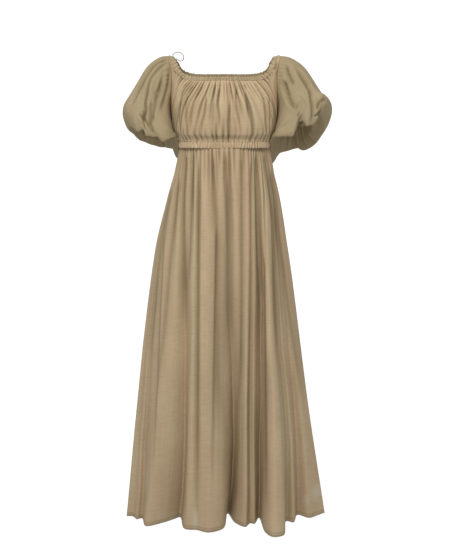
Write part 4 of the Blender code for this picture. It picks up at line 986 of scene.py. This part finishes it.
def draw_waist_casing(front, places):
    turn = np.linspace(0.0, math.pi, CASING_STEPS)
    face = -1.0 if front else 1.0
    aside, ahead = -np.cos(turn) * WAIST_HALF_WIDTH, face * np.sin(turn) * WAIST_HALF_DEPTH
    rim = np.stack([aside, ahead, np.zeros_like(turn)], axis=-1)
    high = on_torso(rim + (0, 0, WAIST_TOP))
    low = on_torso(rim + (0, 0, WAIST_BOTTOM))
    n = TORSO_SQUARENESS - 1
    halves = (WAIST_HALF_WIDTH, WAIST_HALF_DEPTH, 1)
    out = np.sign(high) * (np.abs(high) / halves) ** n / halves * (1, 1, 0)
    marks = marks_between(places, high, doubled=True)
    grid, shade = ruche(high, low, unit(out), marks, 0.0011, strength=1.5)
    grid[:, [0, -1], 1] = -face * SEAM_LAP
    return grid, shade


def draw_cuff(side, count):
    turn = np.linspace(0.0, 2 * math.pi, count * 8, endpoint=False)
    y = -np.sin(turn) * (CUFF_RADIUS_Y - CUFF_INSET)
    high = np.stack([CUFF_X + np.cos(turn) * (CUFF_RADIUS_X - CUFF_INSET), y, cuff_height(y)], axis=-1)
    low = high - (0, 0, CUFF_HEIGHT)
    out = unit(np.stack([np.cos(turn), -np.sin(turn), np.zeros_like(turn)], axis=-1))
    grid, shade = ruche(high, low, out, np.linspace(0.0, 1.0, count + 1), 0.0004)
    return grid * (side, 1, 1), shade


def sew(name, drawn, cut, material, node, around=False, tube=False, thick=CLOTH, flip=False):
    """Makes a piece from its grid. Its map is in metres of cloth, across and up from its lower edge."""
    grid, shade = drawn
    rows, columns = grid.shape[:2]
    down = rows if tube else rows - 1
    over = columns if around else columns - 1
    r, c = np.meshgrid(np.arange(down), np.arange(over), indexing="ij")
    start, below, beside = r * columns, (r + 1) % rows * columns, (c + 1) % columns
    quads = np.stack([start + c, below + c, below + beside, start + beside], axis=-1)
    right = np.stack([c, c, c + 1, c + 1], axis=-1) / over
    level = 1 - np.stack([r, r + 1, r + 1, r], axis=-1) / down
    if not tube:
        lengths = np.linalg.norm(np.diff(grid, axis=0), axis=-1).mean(1)
        run = np.concatenate([[0.0], np.cumsum(lengths)])
        level = 1 - np.interp((1 - level) * (rows - 1), np.arange(rows), run) / run[-1]
    if flip:
        quads, right, level = quads[..., ::-1], right[..., ::-1], level[..., ::-1]
    mesh = bpy.data.meshes.new(name)
    mesh.from_pydata(grid.reshape(-1, 3).tolist(), [], quads.reshape(-1, 4).tolist())
    cloth_map = mesh.uv_layers.new(name="cloth")
    spots = np.stack([right * cut.width, level * cut.length], axis=-1)
    cloth_map.data.foreach_set("uv", spots.astype(np.float32).ravel())
    # Painted shade of the folds, and painted light of the sheer places as negative values, kept for the
    # material to mix into the colour
    dim = mesh.attributes.new(name="fold_shade", type="FLOAT", domain="POINT")
    dim.data.foreach_set("value", np.clip(shade, -1.0, 1.0).astype(np.float32).ravel())
    mesh.shade_smooth()
    mesh.materials.append(material)
    piece = bpy.data.objects.new(name, mesh)
    bpy.context.scene.collection.objects.link(piece)
    if thick:
        shell = piece.modifiers.new("cloth thickness", "SOLIDIFY")
        shell.thickness = thick
        shell.offset = -1.0
    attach(piece, "root")
    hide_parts(node)
    return piece


def linear(hex_colour):
    """A linear colour from an sRGB hex value."""
    parts = [int(hex_colour[i:i + 2], 16) / 255 for i in (1, 3, 5)]
    return tuple(p / 12.92 if p <= 0.04045 else ((p + 0.055) / 1.055) ** 2.4 for p in parts) + (1.0,)


def put(tree, kind, inputs=None, **settings):
    """Adds a node, sets it up, and gives or links its inputs."""
    node = tree.nodes.new(kind)
    for key, value in settings.items():
        setattr(node, key, value)
    for key, value in (inputs or {}).items():
        if isinstance(value, bpy.types.NodeSocket):
            tree.links.new(value, node.inputs[key])
        else:
            node.inputs[key].default_value = value
    return node


def woven_lawn(name, light, dark, hem=False, crumple=1.0, folds=FOLD_DARKNESS):
    """Slub-woven cotton lawn: thin plain weave whose thicker yarns show as faint streaks both ways."""
    material = bpy.data.materials.new(name)
    material.use_nodes = True
    tree = material.node_tree
    shader = tree.nodes["Principled BSDF"]
    place = put(tree, "ShaderNodeUVMap", uv_map="cloth").outputs[0]
    # Weft slubs: real ones are about 0.6 mm thick, drawn 2.8 mm thick and 45 mm long so that they show
    weft = put(tree, "ShaderNodeMapping", {"Vector": place, "Scale": (1 / 0.045, 1 / 0.0028, 1.0)})
    weft = put(
        tree, "ShaderNodeTexNoise",
        {"Vector": weft.outputs[0], "Scale": 1.0, "Detail": 3.0, "Roughness": 0.6},
    )
    # Warp yarns: real ones lie well under 1 mm apart, drawn 2.2 mm apart so that they show
    warp = put(tree, "ShaderNodeMapping", {"Vector": place, "Scale": (1 / 0.0022, 1 / 0.09, 1.0)})
    warp = put(
        tree, "ShaderNodeTexNoise",
        {"Vector": warp.outputs[0], "Scale": 1.0, "Detail": 2.0, "Roughness": 0.5},
    )
    yarn = put(tree, "ShaderNodeMix", {0: 0.38, 2: weft.outputs[0], 3: warp.outputs[0]}, data_type="FLOAT")
    # Dye and handling give soft patches 100 mm across and 160 mm down
    cloud = put(tree, "ShaderNodeMapping", {"Vector": place, "Scale": (1 / 0.10, 1 / 0.16, 1.0)})
    cloud = put(tree, "ShaderNodeTexNoise", {"Vector": cloud.outputs[0], "Scale": 1.0, "Detail": 2.0})
    tone = put(tree, "ShaderNodeMix", {0: 0.35, 2: yarn.outputs[0], 3: cloud.outputs[0]}, data_type="FLOAT")
    ramp = put(tree, "ShaderNodeValToRGB", {"Fac": tone.outputs[0]})
    ramp.color_ramp.elements[0].position = 0.36
    ramp.color_ramp.elements[0].color = linear(dark)
    ramp.color_ramp.elements[1].position = 0.64
    ramp.color_ramp.elements[1].color = linear(light)
    # Bands along the cloth turn a little rosier or more olive, as one layer lies on another behind it
    band = put(tree, "ShaderNodeMapping", {"Vector": place, "Scale": (1 / 0.045, 1 / 0.60, 1.0)})
    band = put(tree, "ShaderNodeTexNoise", {"Vector": band.outputs[0], "Scale": 1.0, "Detail": 1.0})
    tint = put(tree, "ShaderNodeValToRGB", {"Fac": band.outputs[0]})
    tint.color_ramp.elements[0].position = 0.38
    tint.color_ramp.elements[0].color = linear("#f1fbee")
    tint.color_ramp.elements[1].position = 0.62
    tint.color_ramp.elements[1].color = linear("#fff2ec")
    colour = put(
        tree, "ShaderNodeMix", {0: 0.32, 6: ramp.outputs[0], 7: tint.outputs[0]},
        data_type="RGBA", blend_type="MULTIPLY",
    ).outputs[2]
    # Painted shade: the floors of gathers and creases, which hold several layers of cloth and get little
    # light, are darkened in colour towards this dark brown
    fold = put(tree, "ShaderNodeAttribute", attribute_name="fold_shade")
    dark = put(tree, "ShaderNodeMath", {0: fold.outputs["Fac"], 1: folds}, operation="MULTIPLY")
    colour = put(
        tree, "ShaderNodeMix", {0: dark.outputs[0], 6: colour, 7: linear("#584527")}, data_type="RGBA",
    ).outputs[2]
    # Painted light: negative fold_shade values paint the sheer places paler, towards this pale colour
    sheer_light = put(tree, "ShaderNodeMath", {0: fold.outputs["Fac"], 1: -0.6}, operation="MULTIPLY")
    colour = put(
        tree, "ShaderNodeMix", {0: sheer_light.outputs[0], 6: colour, 7: linear("#bdb4a3")}, data_type="RGBA",
    ).outputs[2]
    parts = put(tree, "ShaderNodeSeparateXYZ", {0: place})
    # Handling creases, about 16 mm across and 100 mm down the cloth
    rumple = put(tree, "ShaderNodeMapping", {"Vector": place, "Scale": (1 / 0.016, 1 / 0.10, 1.0)})
    rumple = put(
        tree, "ShaderNodeTexNoise",
        {"Vector": rumple.outputs[0], "Scale": 1.0, "Detail": 4.0, "Roughness": 0.55, "Distortion": 0.4},
    )
    bump = put(
        tree, "ShaderNodeBump", {"Height": rumple.outputs[0], "Strength": 0.35 * crumple, "Distance": 0.004}
    )
    bump = put(
        tree, "ShaderNodeBump",
        {"Height": yarn.outputs[0], "Strength": 0.30, "Distance": 0.0006, "Normal": bump.outputs[0]},
    )
    if hem:
        # Narrow turned hem, 10 mm deep, shown by the stitch line along its top
        stitch = put(tree, "ShaderNodeMapRange", {0: parts.outputs[1], 1: 0.0078, 2: 0.0100, 3: 0.0, 4: 1.0})
        after = put(tree, "ShaderNodeMapRange", {0: parts.outputs[1], 1: 0.0100, 2: 0.0124, 3: 1.0, 4: 0.0})
        line = put(tree, "ShaderNodeMath", {0: stitch.outputs[0], 1: after.outputs[0]}, operation="MULTIPLY")
        faint = put(tree, "ShaderNodeMath", {0: line.outputs[0], 1: 0.38}, operation="MULTIPLY")
        colour = put(
            tree, "ShaderNodeMix",
            {0: faint.outputs[0], 6: colour, 7: linear("#6f5d43")}, data_type="RGBA",
        ).outputs[2]
        bump = put(
            tree, "ShaderNodeBump",
            {"Height": line.outputs[0], "Strength": 0.4, "Distance": 0.0008, "Normal": bump.outputs[0]},
            invert=True,
        )
    tree.links.new(colour, shader.inputs["Base Color"])
    tree.links.new(bump.outputs[0], shader.inputs["Normal"])
    shader.inputs["Roughness"].default_value = 0.88
    shader.inputs["Specular IOR Level"].default_value = 0.15
    return material


def satin_tape(name):
    """Narrow polyester satin tape: smooth, faintly ribbed across, with a soft gleam."""
    material = bpy.data.materials.new(name)
    material.use_nodes = True
    tree = material.node_tree
    shader = tree.nodes["Principled BSDF"]
    place = put(tree, "ShaderNodeUVMap", uv_map="cloth").outputs[0]
    rib = put(tree, "ShaderNodeTexWave", {"Vector": place, "Scale": 320.0, "Distortion": 0.3})
    ramp = put(tree, "ShaderNodeValToRGB", {"Fac": rib.outputs["Fac"]})
    ramp.color_ramp.elements[0].color = linear("#7d786f")
    ramp.color_ramp.elements[1].color = linear("#a9a398")
    tree.links.new(ramp.outputs[0], shader.inputs["Base Color"])
    bump = put(tree, "ShaderNodeBump", {"Height": rib.outputs["Fac"], "Strength": 0.2, "Distance": 0.0003})
    tree.links.new(bump.outputs[0], shader.inputs["Normal"])
    shader.inputs["Roughness"].default_value = 0.42
    return material


def light_studio():
    """A bright white backdrop behind, soft light all round, and one softbox ahead, high and to the left."""
    sheet = bpy.data.meshes.new("studio_backdrop")
    right, back = BACKDROP_HALF_WIDTH, BACKDROP_Y
    below, above = BACKDROP_BOTTOM, BACKDROP_TOP
    corners = [(-right, back, below), (right, back, below), (right, back, above), (-right, back, above)]
    sheet.from_pydata(corners, [], [(0, 1, 2, 3)])
    backdrop = bpy.data.objects.new("studio_backdrop", sheet)
    bpy.context.scene.collection.objects.link(backdrop)
    paper = bpy.data.materials.new("bright_white_paper")
    paper.use_nodes = True
    shader = paper.node_tree.nodes["Principled BSDF"]
    shader.inputs["Base Color"].default_value = (0.9, 0.9, 0.9, 1)
    shader.inputs["Roughness"].default_value = 1.0
    shader.inputs["Emission Color"].default_value = (1, 1, 1, 1)
    shader.inputs["Emission Strength"].default_value = 0.44
    sheet.materials.append(paper)

    world = bpy.data.worlds.new("studio")
    world.use_nodes = True
    sky = world.node_tree.nodes["Background"]
    sky.inputs["Color"].default_value = (1.0, 1.0, 1.0, 1)
    sky.inputs["Strength"].default_value = 0.60
    bpy.context.scene.world = world

    lamp = bpy.data.lights.new("softbox_front", "AREA")
    lamp.shape = "SQUARE"
    lamp.size = 1.1
    lamp.energy = 48.0
    holder = bpy.data.objects.new("softbox_front", lamp)
    holder.location = SOFTBOX_PLACE
    # It faces the shoulder line, at the origin
    ahead = np.subtract((0.0, 0.0, 0.0), SOFTBOX_PLACE)
    holder.rotation_euler = (
        math.atan2(math.hypot(ahead[0], ahead[1]), -ahead[2]),
        0.0,
        math.atan2(-ahead[0], ahead[1]),
    )
    bpy.context.scene.collection.objects.link(holder)


def set_camera():
    lens = bpy.data.cameras.new("camera")
    lens.sensor_fit = "VERTICAL"
    lens.sensor_height = 36.0
    lens.lens = FOCAL_LENGTH_PX / PHOTO_HEIGHT_PX * lens.sensor_height
    camera = bpy.data.objects.new("camera", lens)
    camera.location = CAMERA_PLACE
    camera.rotation_euler = (math.radians(90 - CAMERA_TILT), 0.0, 0.0)
    bpy.context.scene.collection.objects.link(camera)
    bpy.context.scene.camera = camera


set_camera()
light_studio()
bpy.context.scene.view_settings.view_transform = "Standard"

body_lawn = woven_lawn(
    "slub_woven_cotton_lawn", "#c3ae90", "#b09a79", crumple=1.7, folds=BODICE_FOLD_DARKNESS
)
skirt_lawn = woven_lawn("slub_woven_cotton_lawn_hemmed", "#bca88b", "#aa9577", hem=True)
# Painted shade: the sleeves' lawn is a darker copy of the same cloth, for their single layer with nothing
# behind it
sleeve_lawn = woven_lawn(
    "slub_woven_cotton_lawn_single_shaded", "#a9997c", "#98886a", crumple=0.9, folds=SLEEVE_FOLD_DARKNESS
)
ruched_lawn = woven_lawn("ruched_cotton_lawn", "#c3ad90", "#af9879", crumple=0.4)
# Painted shade: the neck casing is a darker copy of the ruched lawn
neck_lawn = woven_lawn("ruched_cotton_lawn_fine_shaded", "#b0a082", "#9c896b", crumple=0.4)
tape = satin_tape("polyester_satin_tape")

bodice, neck, waist, skirt = {}, {}, {}, {}
for face, is_front, neck_table in (("front", True, NECK_FRONT), ("back", False, NECK_BACK)):
    drawn, neck_places, waist_places = draw_bodice(is_front)
    bodice[face] = sew(
        f"bodice_{face}_cloth", drawn, CUTS[f"bodice_{face}"], body_lawn, f"bodice_{face}",
        flip=not is_front,
    )
    neck[face] = sew(
        f"neck_casing_{face}_cloth", draw_neck_casing(neck_table, is_front, neck_places),
        CUTS["neck_casing"], neck_lawn, f"neck_casing_{face}",
        tube=True, thick=0, flip=not is_front,
    )
    waist[face] = sew(
        f"waist_casing_{face}_cloth", draw_waist_casing(is_front, waist_places), CUTS["waist_casing"],
        ruched_lawn, f"waist_casing_{face}", tube=True, thick=0, flip=not is_front,
    )
for face in ("front", "back"):
    skirt[face] = sew(
        f"skirt_{face}_cloth", draw_skirt(face == "front"), CUTS["skirt"], skirt_lawn,
        f"skirt_{face}",
    )
sleeve_right = sew(
    "sleeve_right_cloth", draw_sleeve(1, RIGHT_TROUGHS, RIGHT_FOLD, RIGHT_FURROWS), CUTS["sleeve"],
    sleeve_lawn, "sleeve_right", around=True, flip=True,
)
sleeve_left = sew(
    "sleeve_left_cloth", draw_sleeve(-1, LEFT_TROUGHS, LEFT_FOLD, LEFT_FURROWS), CUTS["sleeve"],
    sleeve_lawn, "sleeve_left", around=True,
)
cuff_right = sew(
    "cuff_right_cloth", draw_cuff(1, CUFF_GATHERS), CUTS["cuff"], ruched_lawn,
    "cuff_right", tube=True, around=True, thick=0,
)
cuff_left = sew(
    "cuff_left_cloth", draw_cuff(-1, CUFF_GATHERS), CUTS["cuff"], ruched_lawn,
    "cuff_left", tube=True, around=True, thick=0, flip=True,
)

line = curve_through(TAPE_ROUTE, samples=10)
run = unit(np.gradient(line, axis=0))
across = unit(np.array([0.0, 1.0, 0.0]) - run * run[:, 1:2])
out = np.cross(run, across)
corners = [(math.cos(a), math.sin(a)) for a in np.linspace(0, 2 * math.pi, 10, endpoint=False)]
ribbon = np.stack(
    [line + a * across * TAPE_WIDTH / 2 + b * out * TAPE_THICK / 2 for a, b in corners], axis=0
)
loop = sew(
    "hanger_tape", (ribbon, np.zeros(ribbon.shape[:2])), CUTS["tape"], tape, "hanger_loop",
    tube=True, thick=0,
)
